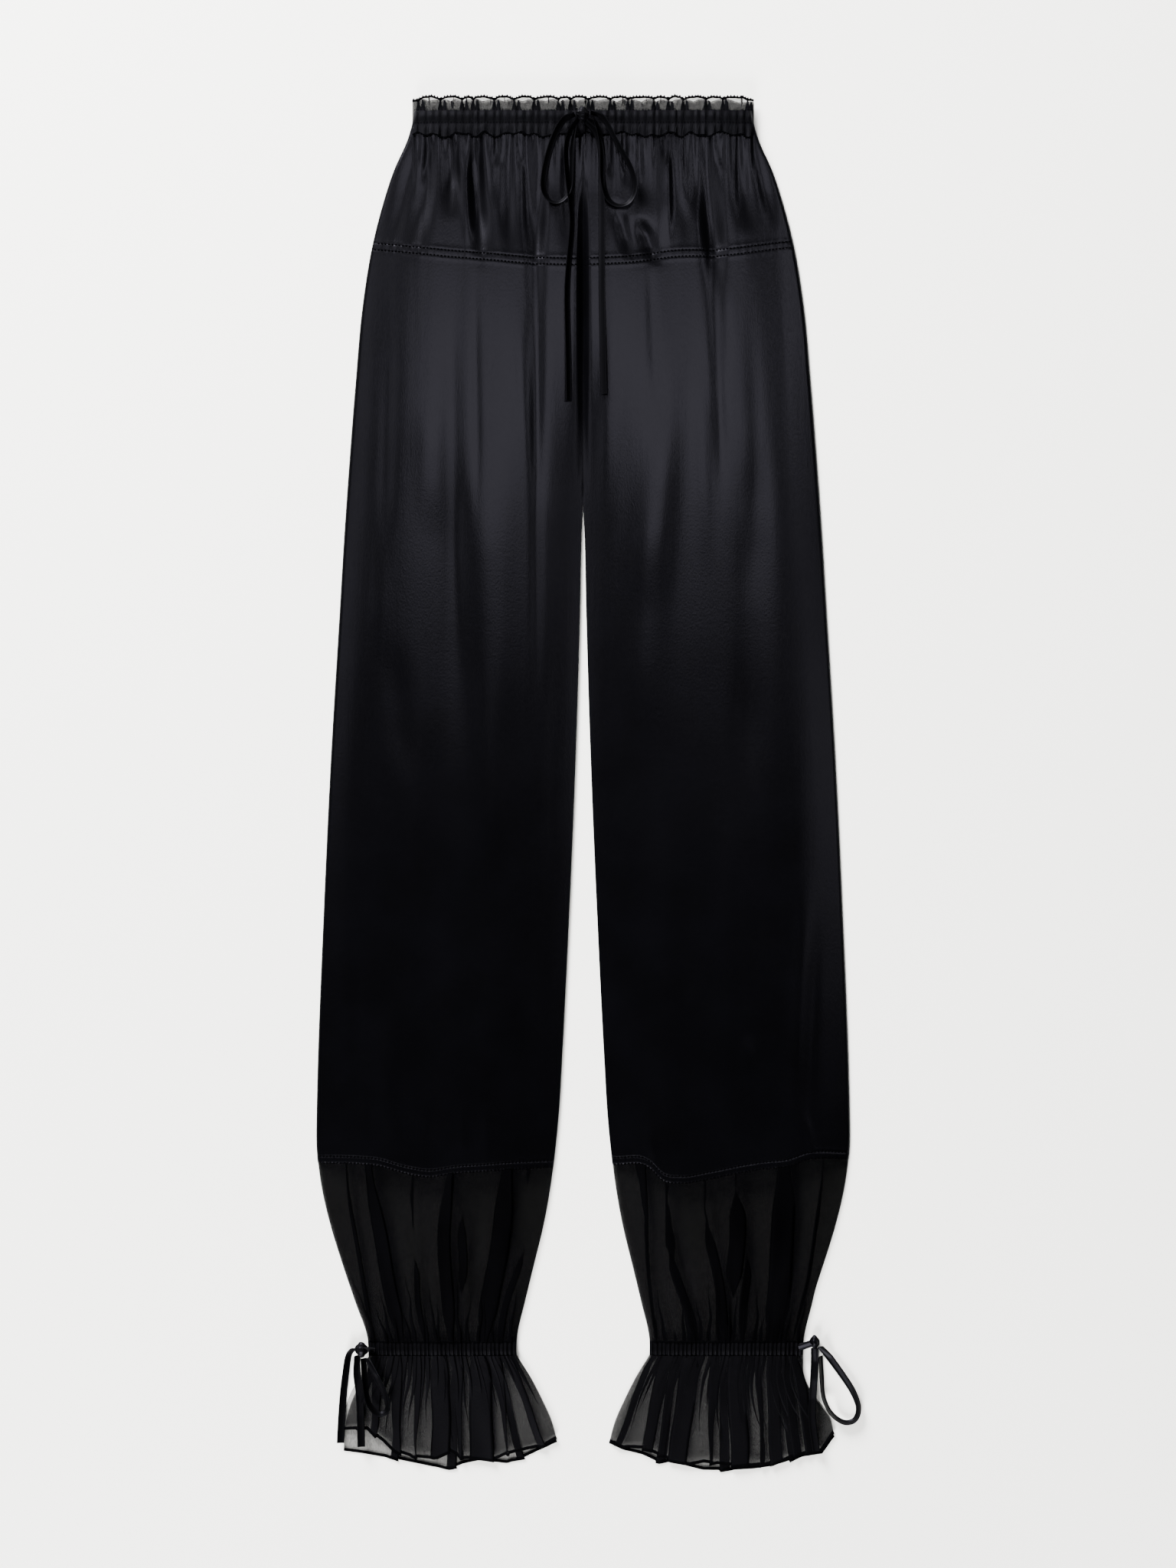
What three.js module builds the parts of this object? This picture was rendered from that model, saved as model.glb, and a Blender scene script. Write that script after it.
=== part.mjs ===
import * as THREE from "three";

// Balloon trousers laid out flat on their back: a front layer of cloth lies on a back layer.
// Millimetres. X runs to the wearer's left, Y towards the waist, Z up from the surface they lie on.
// "down" is the distance below the top edge of the waist, "out" the distance from the centre line.

const LENGTH = 1080;
const WALL = 1.2; // thickness of one layer of cloth
const GAP = 0.3; // clear space at a seam and between layers
const LAYER = WALL + GAP;
const SIDES = [
  { name: "right", sign: -1 },
  { name: "left", sign: 1 },
];

const STRIP_TOP = 0; // waist strip: heading ruffle, drawstring channel and lower frill
const CHANNEL_TOP = 9.7;
const CHANNEL_BOTTOM = 19.9;
const STRIP_BOTTOM = 31;
const STRIP_HALF_WIDTH = 134.3;
const STRIP_RAMP_END = 40; // below the strip the back yoke comes down to the surface again
const YOKE_SEAM = 132; // where the yoke meets the legs on the centre line
const CROTCH = 316;
const ANKLE_SEAM = 842; // mean height of the seam between the satin and the sheer ankle panel
const CASING_TOP = 978.5;
const CASING_BOTTOM = 989.5;

// Gathers drawn up by each casing, across the front.
const GATHERS = { waist: 45, ankle: 36 };

// Half of the outline. The other half mirrors it.
const OUTLINE = [
  { down: 0, inner: 0.15, outer: 131.5 },
  { down: 10, inner: 0.15, outer: 132.5 },
  { down: 31, inner: 0.15, outer: 137.5 },
  { down: 57, inner: 0.15, outer: 149 },
  { down: 88, inner: 0.15, outer: 159 },
  { down: 118, inner: 0.15, outer: 166.3 },
  { down: 163, inner: 0.15, outer: 173.5 },
  { down: 223, inner: 0.15, outer: 179 },
  { down: 284, inner: 0.15, outer: 183.8 },
  { down: 316, inner: 0.15, outer: 186.1 },
  { down: 344, inner: 1.3, outer: 188 },
  { down: 404, inner: 2.5, outer: 191.6 },
  { down: 525, inner: 6.2, outer: 198.8 },
  { down: 646, inner: 11.2, outer: 204.4 },
  { down: 766, inner: 17.2, outer: 209 },
  { down: 797, inner: 19, outer: 209.7 },
  { down: 827, inner: 21.8, outer: 209.7 },
  { down: 857, inner: 25.6, outer: 206.2 },
  { down: 887, inner: 31, outer: 199.2 },
  { down: 917, inner: 38.3, outer: 189.9 },
  { down: 947, inner: 45.6, outer: 179.7 },
  { down: 978, inner: 52.3, outer: 169.4 },
  { down: 992, inner: 52.3, outer: 168.8 },
];

// The wearer's left ankle is gathered a little less at its outer side.
const ANKLE_EXTRA = { right: 0, left: 4.2 };
const ANKLE_EXTRA_FROM = 930;

// Seam lines, as distance down at each distance out.
const YOKE_SEAM_LINE = [
  { out: 0, right: 132, left: 132 },
  { out: 39, right: 131, left: 130 },
  { out: 75, right: 128, left: 125.5 },
  { out: 105, right: 125.5, left: 125 },
  { out: 166, right: 119, left: 117.5 },
];
const ANKLE_SEAM_LINE = [
  { out: 25, right: 841.5, left: 839 },
  { out: 52, right: 842, left: 841 },
  { out: 63, right: 842.5, left: 851 },
  { out: 76, right: 843.5, left: 853 },
  { out: 100, right: 845, left: 849.5 },
  { out: 122, right: 848, left: 845 },
  { out: 140, right: 845, left: 842 },
  { out: 162, right: 839, left: 839.5 },
  { out: 175, right: 838, left: 835 },
  { out: 208, right: 838, left: 835 },
];

// How high the front layer swells above the back one, and how far in from each edge it takes to.
const CROWN = [
  { down: 0, high: 1.5, reach: 30 },
  { down: 40, high: 3, reach: 40 },
  { down: 132, high: 6, reach: 60 },
  { down: 284, high: 8.5, reach: 62 },
  { down: 404, high: 8.5, reach: 62 },
  { down: 646, high: 7.5, reach: 60 },
  { down: 827, high: 8.5, reach: 60 },
  { down: 917, high: 6, reach: 45 },
  { down: 978, high: 2.5, reach: 25 },
  { down: 992, high: 2, reach: 20 },
];

// Folds of the front layer: from top to bottom, through three distances out. Valleys are low.
const FOLDS = [
  { side: "right", top: 24, bottom: 115, from: 130, mid: 139, to: 148, wide: 7, high: -1.6 },
  { side: "right", top: 22, bottom: 75, from: 104, mid: 104, to: 103, wide: 6, high: -1.4 },
  { side: "right", top: 22, bottom: 130, from: 88, mid: 81, to: 76, wide: 7, high: -3 },
  { side: "right", top: 22, bottom: 115, from: 62, mid: 61, to: 60, wide: 6, high: -1 },
  { side: "right", top: 22, bottom: 350, from: 43, mid: 38, to: 27, wide: 9, high: -4 },
  { side: "right", top: 110, bottom: 345, from: 0, mid: 0, to: 0, wide: 8, high: -5 },
  { side: "right", top: 250, bottom: 540, from: 107, mid: 101, to: 97, wide: 13, high: -2.6 },
  { side: "right", top: 260, bottom: 520, from: 79, mid: 75, to: 64, wide: 15, high: 3 },
  { side: "right", top: 230, bottom: 350, from: 122, mid: 120, to: 117, wide: 11, high: 1.5 },
  { side: "right", top: 420, bottom: 545, from: 148, mid: 144, to: 140, wide: 10, high: -1.6 },
  { side: "right", top: 715, bottom: 838, from: 161, mid: 155, to: 148, wide: 8, high: 2.6 },
  { side: "right", top: 845, bottom: 978, from: 168, mid: 157, to: 145, wide: 7, high: -2 },
  { side: "right", top: 845, bottom: 978, from: 104, mid: 112, to: 109, wide: 8, high: -2.6 },
  { side: "right", top: 845, bottom: 978, from: 64, mid: 68, to: 88, wide: 7, high: -2.2 },
  { side: "left", top: 110, bottom: 345, from: 0, mid: 0, to: 0, wide: 8, high: -5 },
  { side: "left", top: 90, bottom: 140, from: 48, mid: 50, to: 53, wide: 13, high: -1.4 },
  { side: "left", top: 22, bottom: 125, from: 64, mid: 64, to: 64, wide: 6, high: 1.8 },
  { side: "left", top: 26, bottom: 235, from: 84, mid: 102, to: 111, wide: 9, high: -3.4 },
  { side: "left", top: 24, bottom: 110, from: 118, mid: 123, to: 129, wide: 7, high: -1.5 },
  { side: "left", top: 240, bottom: 410, from: 63, mid: 57, to: 47, wide: 15, high: 3 },
  { side: "left", top: 260, bottom: 410, from: 135, mid: 132, to: 131, wide: 12, high: -2 },
  { side: "left", top: 600, bottom: 842, from: 178, mid: 167, to: 166, wide: 7, high: 3 },
  { side: "left", top: 450, bottom: 840, from: 99, mid: 99, to: 99, wide: 18, high: 1.6 },
  { side: "left", top: 845, bottom: 978, from: 88, mid: 101, to: 111, wide: 8, high: -2.6 },
  { side: "left", top: 845, bottom: 978, from: 168, mid: 156, to: 135, wide: 7, high: -2.2 },
  { side: "left", top: 830, bottom: 970, from: 189, mid: 181, to: 167, wide: 7, high: 2 },
];

// Sections of each panel, as distances down.
const YOKE_SECTIONS = [10, 21, 33, STRIP_RAMP_END, 62, 84, 107, YOKE_SEAM];
const LEG_SECTIONS = [
  YOKE_SEAM, 165, 200, 235, 270, CROTCH, 345, 380, 415, 455,
  500, 550, 600, 650, 700, 745, 785, 815, ANKLE_SEAM,
];
const LEG_BACK_SECTIONS = [YOKE_SEAM, 223, CROTCH, 345, 404, 525, 646, 766, 797, 827, ANKLE_SEAM];
const FRONT_COLUMNS = 14;
const BACK_COLUMNS = 6;
const ANKLE_SECTIONS = [ANKLE_SEAM, 860, 885, 910, 935, 958, CASING_TOP];

// The waist strip: how far each section lies above the yoke, and the height of its gathers.
const STRIP_SECTIONS = [
  { down: STRIP_TOP, lift: 0.6, wave: 2.4 },
  { down: 5.5, lift: 0.4, wave: 1.6 },
  { down: CHANNEL_TOP, lift: 0, wave: 0.6 },
  { down: 14.8, lift: 0.8, wave: 1.4 },
  { down: CHANNEL_BOTTOM, lift: 0, wave: 0.6 },
  { down: 25.5, lift: 0.1, wave: 1.3 },
  { down: STRIP_BOTTOM, lift: 0.3, wave: 2 },
];
const CASING_SECTIONS = [
  { down: CASING_TOP + GAP / 2, lift: 0, wave: 0.8 },
  { down: 984, lift: 0.8, wave: 1.3 },
  { down: CASING_BOTTOM - GAP / 2, lift: 0, wave: 0.8 },
];

const HEM_LEVEL = 1060; // where the side edges of the ruffle meet its hem
// Ankle ruffle: its side edges at each distance down. The back layer reaches further out.
const RUFFLE_SIDES = [
  { down: 990, inner: 52, right: 168.7, rightBack: 168.7, left: 173.2, leftBack: 173.2 },
  { down: 1008, inner: 41.3, right: 169.4, rightBack: 174.5, left: 173.2, leftBack: 174 },
  { down: 1026, inner: 32.6, right: 169.8, rightBack: 183, left: 181, leftBack: 182 },
  { down: 1044, inner: 25, right: 170, rightBack: 187.5, left: 193, leftBack: 194 },
  { down: HEM_LEVEL, inner: 20.8, right: 170, rightBack: 188.6, left: 197, leftBack: 197.5 },
];
// Its hems, front and back, at each distance out.
const RUFFLE_HEMS = [
  { out: 21, right: 1054, rightBack: 1057, left: 1056.6, leftBack: 1058 },
  { out: 32, right: 1061, rightBack: 1063, left: 1062, leftBack: 1064 },
  { out: 48, right: 1064.5, rightBack: 1070.5, left: 1062.6, leftBack: 1068 },
  { out: 60, right: 1067, rightBack: 1074.7, left: 1068, leftBack: 1074 },
  { out: 70, right: 1071.5, rightBack: 1073.5, left: 1072.5, leftBack: 1073.5 },
  { out: 83, right: 1071, rightBack: 1072.5, left: 1076, leftBack: 1077 },
  { out: 95, right: 1070.4, rightBack: 1075, left: 1073.5, leftBack: 1080 },
  { out: 105, right: 1064.4, rightBack: 1079, left: 1075, leftBack: 1080 },
  { out: 116, right: 1071, rightBack: 1077.7, left: 1076, leftBack: 1080 },
  { out: 134, right: 1069.2, rightBack: 1074, left: 1076.5, leftBack: 1079 },
  { out: 148, right: 1065, rightBack: 1071, left: 1075, leftBack: 1077 },
  { out: 158, right: 1056.5, rightBack: 1069.5, left: 1072, leftBack: 1074 },
  { out: 170, right: 1047.5, rightBack: 1067.5, left: 1067, leftBack: 1070 },
  { out: 188, right: 1047, rightBack: 1064, left: 1064, leftBack: 1067 },
  { out: 197, right: 1047, rightBack: 1062, left: 1050, leftBack: 1053 },
];
// Crests of its flat pleats, as shares of its width from the inner edge, and their height at the hem.
const PLEATS = {
  right: [
    { at: 0.12, high: 2.2 },
    { at: 0.24, high: 1.4 },
    { at: 0.36, high: 4 },
    { at: 0.48, high: 2.2 },
    { at: 0.6, high: 4.2 },
    { at: 0.72, high: 1.8 },
    { at: 0.84, high: 3.4 },
    { at: 0.94, high: 1.4 },
  ],
  left: [
    { at: 0.07, high: 2 },
    { at: 0.2, high: 3.4 },
    { at: 0.33, high: 3 },
    { at: 0.46, high: 2.4 },
    { at: 0.58, high: 4 },
    { at: 0.7, high: 3.2 },
    { at: 0.81, high: 2.4 },
    { at: 0.92, high: 3 },
  ],
};
const PLEAT_HALF = 0.06; // half the width of a pleat, as a share of the ruffle's
const RUFFLE_ROWS = 5;

// Ribbons of the drawstring and the ankle ties: chosen points, the ribbon's width there, and
// the height of its middle, as a lift above the cloth under it or as z above the surface.
const RIBBON_THICK = 1.2;
const BRIDGE_END = 75;
const RIBBON_REACH = 5; // a ribbon bridges hollows narrower than twice this
const ANKLE_KNOT_Z = 3.7; // the ankle knots lie on the surface, beside the casings
const WAIST_KNOT = { x: -0.3, down: 14, rx: 5, ry: 4, rz: 2.8 };
const ANKLE_KNOTS = {
  right: { x: -174.3, down: 984.6, rx: 5.2, ry: 4.6, rz: 3.2 },
  left: { x: 182.2, down: 978.6, rx: 3.9, ry: 4.2, rz: 3.4 },
};
const RIBBONS = {
  waist_loop_right: [
    { x: -6.6, down: 14.6, lift: 1.2, wide: 2.6 },
    { x: -16, down: 20, lift: 1, wide: 4.2 },
    { x: -24, down: 36, lift: 1, wide: 5 },
    { x: -30, down: 58, lift: 1, wide: 5 },
    { x: -31, down: 74, lift: 1, wide: 4 },
    { x: -25, down: 83, lift: 1, wide: 2.6 },
    { x: -16, down: 82, lift: 1, wide: 2.6 },
    { x: -9.6, down: 71, lift: 1, wide: 2.6 },
    { x: -8.4, down: 42, lift: 1, wide: 2.6 },
    { x: -5.4, down: 20.6, lift: 1.2, wide: 2.2 },
  ],
  waist_loop_left: [
    { x: 5.9, down: 13.4, lift: 3.6, wide: 2.6 },
    { x: 16, down: 18.5, lift: 3.4, wide: 3.4 },
    { x: 27, down: 38, lift: 3, wide: 3.2 },
    { x: 38, down: 58, lift: 3, wide: 3.2 },
    { x: 41, down: 72, lift: 3, wide: 3 },
    { x: 37, down: 83, lift: 3, wide: 3 },
    { x: 28, down: 86.5, lift: 3, wide: 3 },
    { x: 19.5, down: 81, lift: 3, wide: 4 },
    { x: 15.4, down: 66, lift: 3, wide: 4.2 },
    { x: 14.6, down: 40, lift: 3, wide: 4.2 },
    { x: 9.8, down: 22, lift: 3.2, wide: 2.6 },
    { x: 4.6, down: 18.2, lift: 3.6, wide: 2.2 },
  ],
  waist_tail_right: [
    { x: -3.6, down: 18.8, lift: 3.6, wide: 2.4 },
    { x: -11, down: 30, lift: 3, wide: 3 },
    { x: -13.6, down: 45, lift: 3, wide: 3.4 },
    { x: -12, down: 68, lift: 3, wide: 3.4 },
    { x: -10, down: 84, lift: 3, wide: 3.4 },
    { x: -9, down: 104, lift: 1.6, wide: 3.6 },
    { x: -12.4, down: 150, lift: 1.6, wide: 4.4 },
    { x: -11.6, down: 200, lift: 1.6, wide: 4.6 },
    { x: -11, down: 239, lift: 1.6, wide: 4.6 },
  ],
  waist_tail_left: [
    { x: 2.4, down: 20.4, lift: 1, wide: 2.4 },
    { x: 10, down: 29, lift: 1, wide: 3.4 },
    { x: 14.4, down: 45, lift: 1, wide: 4.4 },
    { x: 14.6, down: 68, lift: 1, wide: 4.6 },
    { x: 14.8, down: 92, lift: 1.2, wide: 4.6 },
    { x: 14.8, down: 150, lift: 1.6, wide: 4.6 },
    { x: 15.6, down: 200, lift: 1.6, wide: 5 },
    { x: 16.4, down: 234, lift: 1.6, wide: 7 },
  ],
  ankle_tail_right: [
    { x: -177.8, down: 989, z: ANKLE_KNOT_Z - 0.4, wide: 3.4 },
    { x: -178, down: 1004, lift: 1, wide: 5 },
    { x: -176, down: 1020, lift: 1, wide: 5 },
    { x: -174.8, down: 1038, lift: 1, wide: 5 },
    { x: -174.2, down: 1060.5, lift: 1, wide: 5.4 },
  ],
  ankle_tail_back_right: [
    { x: -180.8, down: 983.4, z: ANKLE_KNOT_Z - 0.4, wide: 2.6 },
    { x: -184.8, down: 990, lift: 1, wide: 3.8 },
    { x: -187, down: 1004, lift: 1, wide: 4.2 },
    { x: -189, down: 1022, lift: 1, wide: 4.4 },
    { x: -190.2, down: 1042, lift: 1, wide: 4.6 },
    { x: -191, down: 1058.5, lift: 1, wide: 4.6 },
  ],
  ankle_loop_right: [
    { x: -172.6, down: 990.6, lift: 1, wide: 2.6 },
    { x: -171.8, down: 1006, lift: 1, wide: 2.4 },
    { x: -169.4, down: 1023, lift: 1, wide: 2 },
    { x: -164.4, down: 1032, lift: 1, wide: 2 },
    { x: -157.8, down: 1034.6, lift: 1, wide: 2 },
    { x: -153.2, down: 1029.6, lift: 1, wide: 2.6 },
    { x: -155.4, down: 1019, lift: 1, wide: 4 },
    { x: -162, down: 1006, lift: 1, wide: 4.6 },
    { x: -167, down: 995, lift: 1, wide: 3 },
    { x: -169.6, down: 990.2, lift: 1, wide: 2 },
  ],
  ankle_strand_left: [
    { x: 173.5, down: 981.5, z: ANKLE_KNOT_Z, wide: 3.4 },
    { x: 177.9, down: 980, z: ANKLE_KNOT_Z, wide: 3.4 },
  ],
  ankle_tail_left: [
    { x: 182.2, down: 983.4, z: ANKLE_KNOT_Z - 0.4, wide: 4.6 },
    { x: 182.4, down: 995, lift: 1.2, wide: 5.4 },
    { x: 181.8, down: 1008, lift: 1.5, wide: 5.4 },
    { x: 180.4, down: 1024, lift: 1.5, wide: 5.4 },
    { x: 180.4, down: 1042, lift: 1, wide: 5.4 },
    { x: 183.4, down: 1064, lift: 1, wide: 5.4 },
  ],
  ankle_loop_left: [
    { x: 186.6, down: 982.2, z: ANKLE_KNOT_Z - 0.6, wide: 3 },
    { x: 194, down: 991, lift: 1, wide: 4.6 },
    { x: 204, down: 1004.6, lift: 1, wide: 4.4 },
    { x: 212.6, down: 1018, lift: 1, wide: 4 },
    { x: 217, down: 1030.6, lift: 1, wide: 2.4 },
    { x: 214.6, down: 1039.6, lift: 1, wide: 1.8 },
    { x: 207.4, down: 1042.6, lift: 1, wide: 1.6 },
    { x: 199.4, down: 1039, lift: 1, wide: 1.6 },
    { x: 192.6, down: 1031, lift: 1, wide: 1.6 },
    { x: 188.8, down: 1021, lift: 1, wide: 2 },
    { x: 187.6, down: 1006, lift: 1, wide: 2.4 },
    { x: 186.8, down: 990, lift: 1, wide: 2 },
  ],
};

const satin = new THREE.MeshStandardMaterial({ color: 0x0b0b10, roughness: 0.32, metalness: 0 });
const chiffon = new THREE.MeshStandardMaterial({ color: 0x1c1c22, roughness: 0.8, metalness: 0 });
const crepe = new THREE.MeshStandardMaterial({ color: 0x24242a, roughness: 0.85, metalness: 0 });
const ribbonSatin = new THREE.MeshStandardMaterial({ color: 0x15151a, roughness: 0.4, metalness: 0 });

const group = new THREE.Group();

function mix(a, b, t) {
  return a + (b - a) * t;
}

function smooth(from, to, value) {
  return THREE.MathUtils.smoothstep(value, from, to);
}

// A column of a table, read at a place between its rows.
function along(table, key, column, at) {
  if (at <= table[0][key]) return table[0][column];
  for (let i = 1; i < table.length; i++) {
    const a = table[i - 1];
    const b = table[i];
    if (at <= b[key]) return mix(a[column], b[column], (at - a[key]) / (b[key] - a[key]));
  }
  return table[table.length - 1][column];
}

function innerEdge(down) {
  return along(OUTLINE, "down", "inner", down);
}

function outerEdge(side, down) {
  const extra = ANKLE_EXTRA[side] * smooth(ANKLE_EXTRA_FROM, CASING_TOP, down);
  return along(OUTLINE, "down", "outer", down) + extra;
}

function seamDrop(line, mean, side, out) {
  return along(line, "out", side, out) - mean;
}

// The back layer lies on the surface, and over the waist strip where that is beneath it.
function backUnder(down) {
  return LAYER * (1 - smooth(33, STRIP_RAMP_END, down));
}

function rise(distance, reach) {
  const share = Math.min(Math.max(distance / reach, 0), 1);
  return 1 - (1 - share) ** 2;
}

function foldHeight(side, out, down) {
  let total = 0;
  for (const fold of FOLDS) {
    if (fold.side !== side || down <= fold.top || down >= fold.bottom) continue;
    const t = (down - fold.top) / (fold.bottom - fold.top);
    const line = mix(mix(fold.from, fold.mid, t), mix(fold.mid, fold.to, t), t);
    const fade = smooth(0, 0.25, t) * (1 - smooth(0.75, 1, t));
    total += fold.high * fade * Math.exp(-(((out - line) / fold.wide) ** 2));
  }
  return total;
}

// Height of the front layer's underside above the back layer that it lies on.
function swell(side, out, down) {
  const high = along(CROWN, "down", "high", down);
  const reach = along(CROWN, "down", "reach", down);
  const parted = smooth(YOKE_SEAM - 20, CROTCH, down);
  const outerRise = rise(outerEdge(side, down) - out, reach);
  const innerRise = mix(1, rise(out - innerEdge(down), reach), parted);
  const edge = Math.min(outerRise, 1) * innerRise;
  return Math.max(high * edge + foldHeight(side, out, down) * Math.min(1, edge * 2), 0);
}

function frontUnder(side, out, down) {
  return backUnder(down) + LAYER + swell(side, out, down);
}

// A closed body from vertices and triangles, with its faces turned outwards.
function closedBody(vertices, triangles) {
  const geometry = new THREE.BufferGeometry();
  let volume = 0;
  for (const [a, b, c] of triangles) volume += vertices[a].dot(vertices[b].clone().cross(vertices[c]));
  const faces = volume < 0 ? triangles.map(([a, b, c]) => [a, c, b]) : triangles;
  geometry.setAttribute(
    "position",
    new THREE.Float32BufferAttribute(vertices.flatMap((v) => v.toArray()), 3),
  );
  geometry.setIndex(faces.flat());
  geometry.computeVertexNormals();
  return geometry;
}

function place(x, down, z) {
  return new THREE.Vector3(x, LENGTH / 2 - down, z);
}

function add(name, geometry, material) {
  const mesh = new THREE.Mesh(geometry, material.clone());
  mesh.name = name;
  group.add(mesh);
}

// A sheet of cloth: a grid of places with an underside and a top one wall above it.
function sheet(columns, rows, pointAt) {
  const vertices = [];
  const triangles = [];
  const count = columns * rows;
  for (const thickness of [0, WALL]) {
    for (let j = 0; j < rows; j++) {
      for (let i = 0; i < columns; i++) {
        const { x, down, under } = pointAt(i, j);
        vertices.push(place(x, down, under + thickness));
      }
    }
  }
  const quad = (a, b, c, d) => triangles.push([a, b, c], [a, c, d]);
  for (let j = 0; j + 1 < rows; j++) {
    for (let i = 0; i + 1 < columns; i++) {
      const a = j * columns + i;
      const b = a + 1;
      const c = b + columns;
      const d = a + columns;
      quad(a, b, c, d);
      triangles.push([a + count, c + count, b + count], [a + count, d + count, c + count]);
    }
  }
  const rim = [];
  for (let i = 0; i + 1 < columns; i++) rim.push(i);
  for (let j = 0; j + 1 < rows; j++) rim.push(j * columns + columns - 1);
  for (let i = columns - 1; i > 0; i--) rim.push((rows - 1) * columns + i);
  for (let j = rows - 1; j > 0; j--) rim.push(j * columns);
  rim.forEach((a, n) => {
    const b = rim[(n + 1) % rim.length];
    quad(b, a, a + count, b + count);
  });
  return closedBody(vertices, triangles);
}

// One panel of a leg or yoke, between its inner and outer edges and two seam lines.
function panel(side, sign, columns, sections, topSeam, bottomSeam, underAt) {
  const first = sections[0];
  const last = sections[sections.length - 1];
  return sheet(columns + 1, sections.length, (i, j) => {
    const share = i / columns;
    const across = 0.5 - 0.5 * Math.cos(Math.PI * share);
    const u = mix(share, across, 0.45);
    let down = sections[j];
    const out = mix(innerEdge(down), outerEdge(side, down), u);
    const v = (down - first) / (last - first);
    down += (1 - v) ** 3 * topSeam(side, out) + v ** 3 * bottomSeam(side, out);
    if (j === 0) down += GAP / 2;
    if (j === sections.length - 1) down -= GAP / 2;
    const x = mix(innerEdge(down), outerEdge(side, down), u);
    return { x: sign * x, down, under: underAt(side, x, down) };
  });
}

const straight = () => 0;
const yokeSeam = (side, out) => seamDrop(YOKE_SEAM_LINE, YOKE_SEAM, side, out);
const ankleSeam = (side, out) => seamDrop(ANKLE_SEAM_LINE, ANKLE_SEAM, side, out);
const onBack = (side, out, down) => backUnder(down);
const onSurface = () => 0;

function addPanels(side, sign) {
  const front = FRONT_COLUMNS;
  const back = BACK_COLUMNS;
  const cut = (...rest) => panel(side, sign, ...rest);
  add(`yoke_front_${side}`, cut(front, YOKE_SECTIONS, straight, yokeSeam, frontUnder), satin);
  add(`yoke_back_${side}`, cut(back, YOKE_SECTIONS, straight, yokeSeam, onBack), satin);
  add(`leg_front_${side}`, cut(front, LEG_SECTIONS, yokeSeam, ankleSeam, frontUnder), satin);
  add(`leg_back_${side}`, cut(back, LEG_BACK_SECTIONS, yokeSeam, ankleSeam, onSurface), satin);
  add(`ankle_front_${side}`, cut(front, ANKLE_SECTIONS, ankleSeam, straight, frontUnder), chiffon);
  add(`ankle_back_${side}`, cut(back, ANKLE_SECTIONS, ankleSeam, straight, onSurface), chiffon);
}

// Gathers: crests and troughs in turn, unevenly spaced and unevenly high.
function unevenness(n) {
  return Math.sin(n * 2.4) * 0.6 + Math.sin(n * 5.1 + 1) * 0.4;
}

function gatherShare(i, gathers) {
  const last = gathers * 2;
  return i === 0 || i === last ? i / last : (i + 0.3 * unevenness(i)) / last;
}

function gatherHeight(i) {
  return i % 2 ? 0.75 + 0.25 * unevenness(i) : 0;
}

function stripUnder(x, down) {
  const side = x < 0 ? "right" : "left";
  return frontUnder(side, Math.abs(x), down) + LAYER;
}

function addWaistStrip() {
  const columns = GATHERS.waist * 2 + 1;
  const front = sheet(columns, STRIP_SECTIONS.length, (i, j) => {
    const { down, lift, wave } = STRIP_SECTIONS[j];
    const x = mix(-STRIP_HALF_WIDTH, STRIP_HALF_WIDTH, gatherShare(i, GATHERS.waist));
    const edge = j === 0 ? 0.8 * (1 - Math.abs(unevenness(Math.floor(i / 6)))) : 0;
    return { x, down: down + edge, under: stripUnder(x, down) + lift + wave * gatherHeight(i) };
  });
  add("waist_strip_front", front, crepe);
  const back = sheet(9, 3, (i, j) => ({
    x: mix(-STRIP_HALF_WIDTH, STRIP_HALF_WIDTH, i / 8),
    down: mix(STRIP_TOP, STRIP_BOTTOM, j / 2),
    under: 0,
  }));
  add("waist_strip_back", back, crepe);
}

function addCasing(side, sign) {
  const inner = innerEdge(CASING_BOTTOM);
  const outer = outerEdge(side, CASING_BOTTOM);
  const columns = GATHERS.ankle * 2 + 1;
  const front = sheet(columns, CASING_SECTIONS.length, (i, j) => {
    const section = CASING_SECTIONS[j];
    const out = mix(inner, outer, gatherShare(i, GATHERS.ankle));
    const under = frontUnder(side, out, section.down) + section.lift + section.wave * gatherHeight(i);
    return { x: sign * out, down: section.down, under };
  });
  add(`casing_front_${side}`, front, chiffon);
  const back = sheet(6, 2, (i, j) => ({
    x: sign * mix(inner, outer, i / 5),
    down: j === 0 ? CASING_TOP + GAP / 2 : CASING_BOTTOM - GAP / 2,
    under: 0,
  }));
  add(`casing_back_${side}`, back, chiffon);
}

// Height of a ruffle's pleats across its width: a rounded crest at each pleat, a trough midway.
function pleatHeight(side, u) {
  const crests = PLEATS[side];
  let total = 0;
  for (const { at, high } of crests) {
    const share = Math.min(1, Math.abs(u - at) / PLEAT_HALF);
    total = Math.max(total, high * (1 - share ** 2));
  }
  return total;
}

function ruffleUnder(side, u, v) {
  const out = mix(innerEdge(CASING_BOTTOM), outerEdge(side, CASING_BOTTOM), u);
  const atCasing = frontUnder(side, out, CASING_BOTTOM);
  const edge = Math.min(1, 12 * u * (1 - u));
  return LAYER + (atCasing - LAYER) * (1 - v) + (pleatHeight(side, u) * edge + 0.6) * smooth(0, 0.5, v);
}

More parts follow.
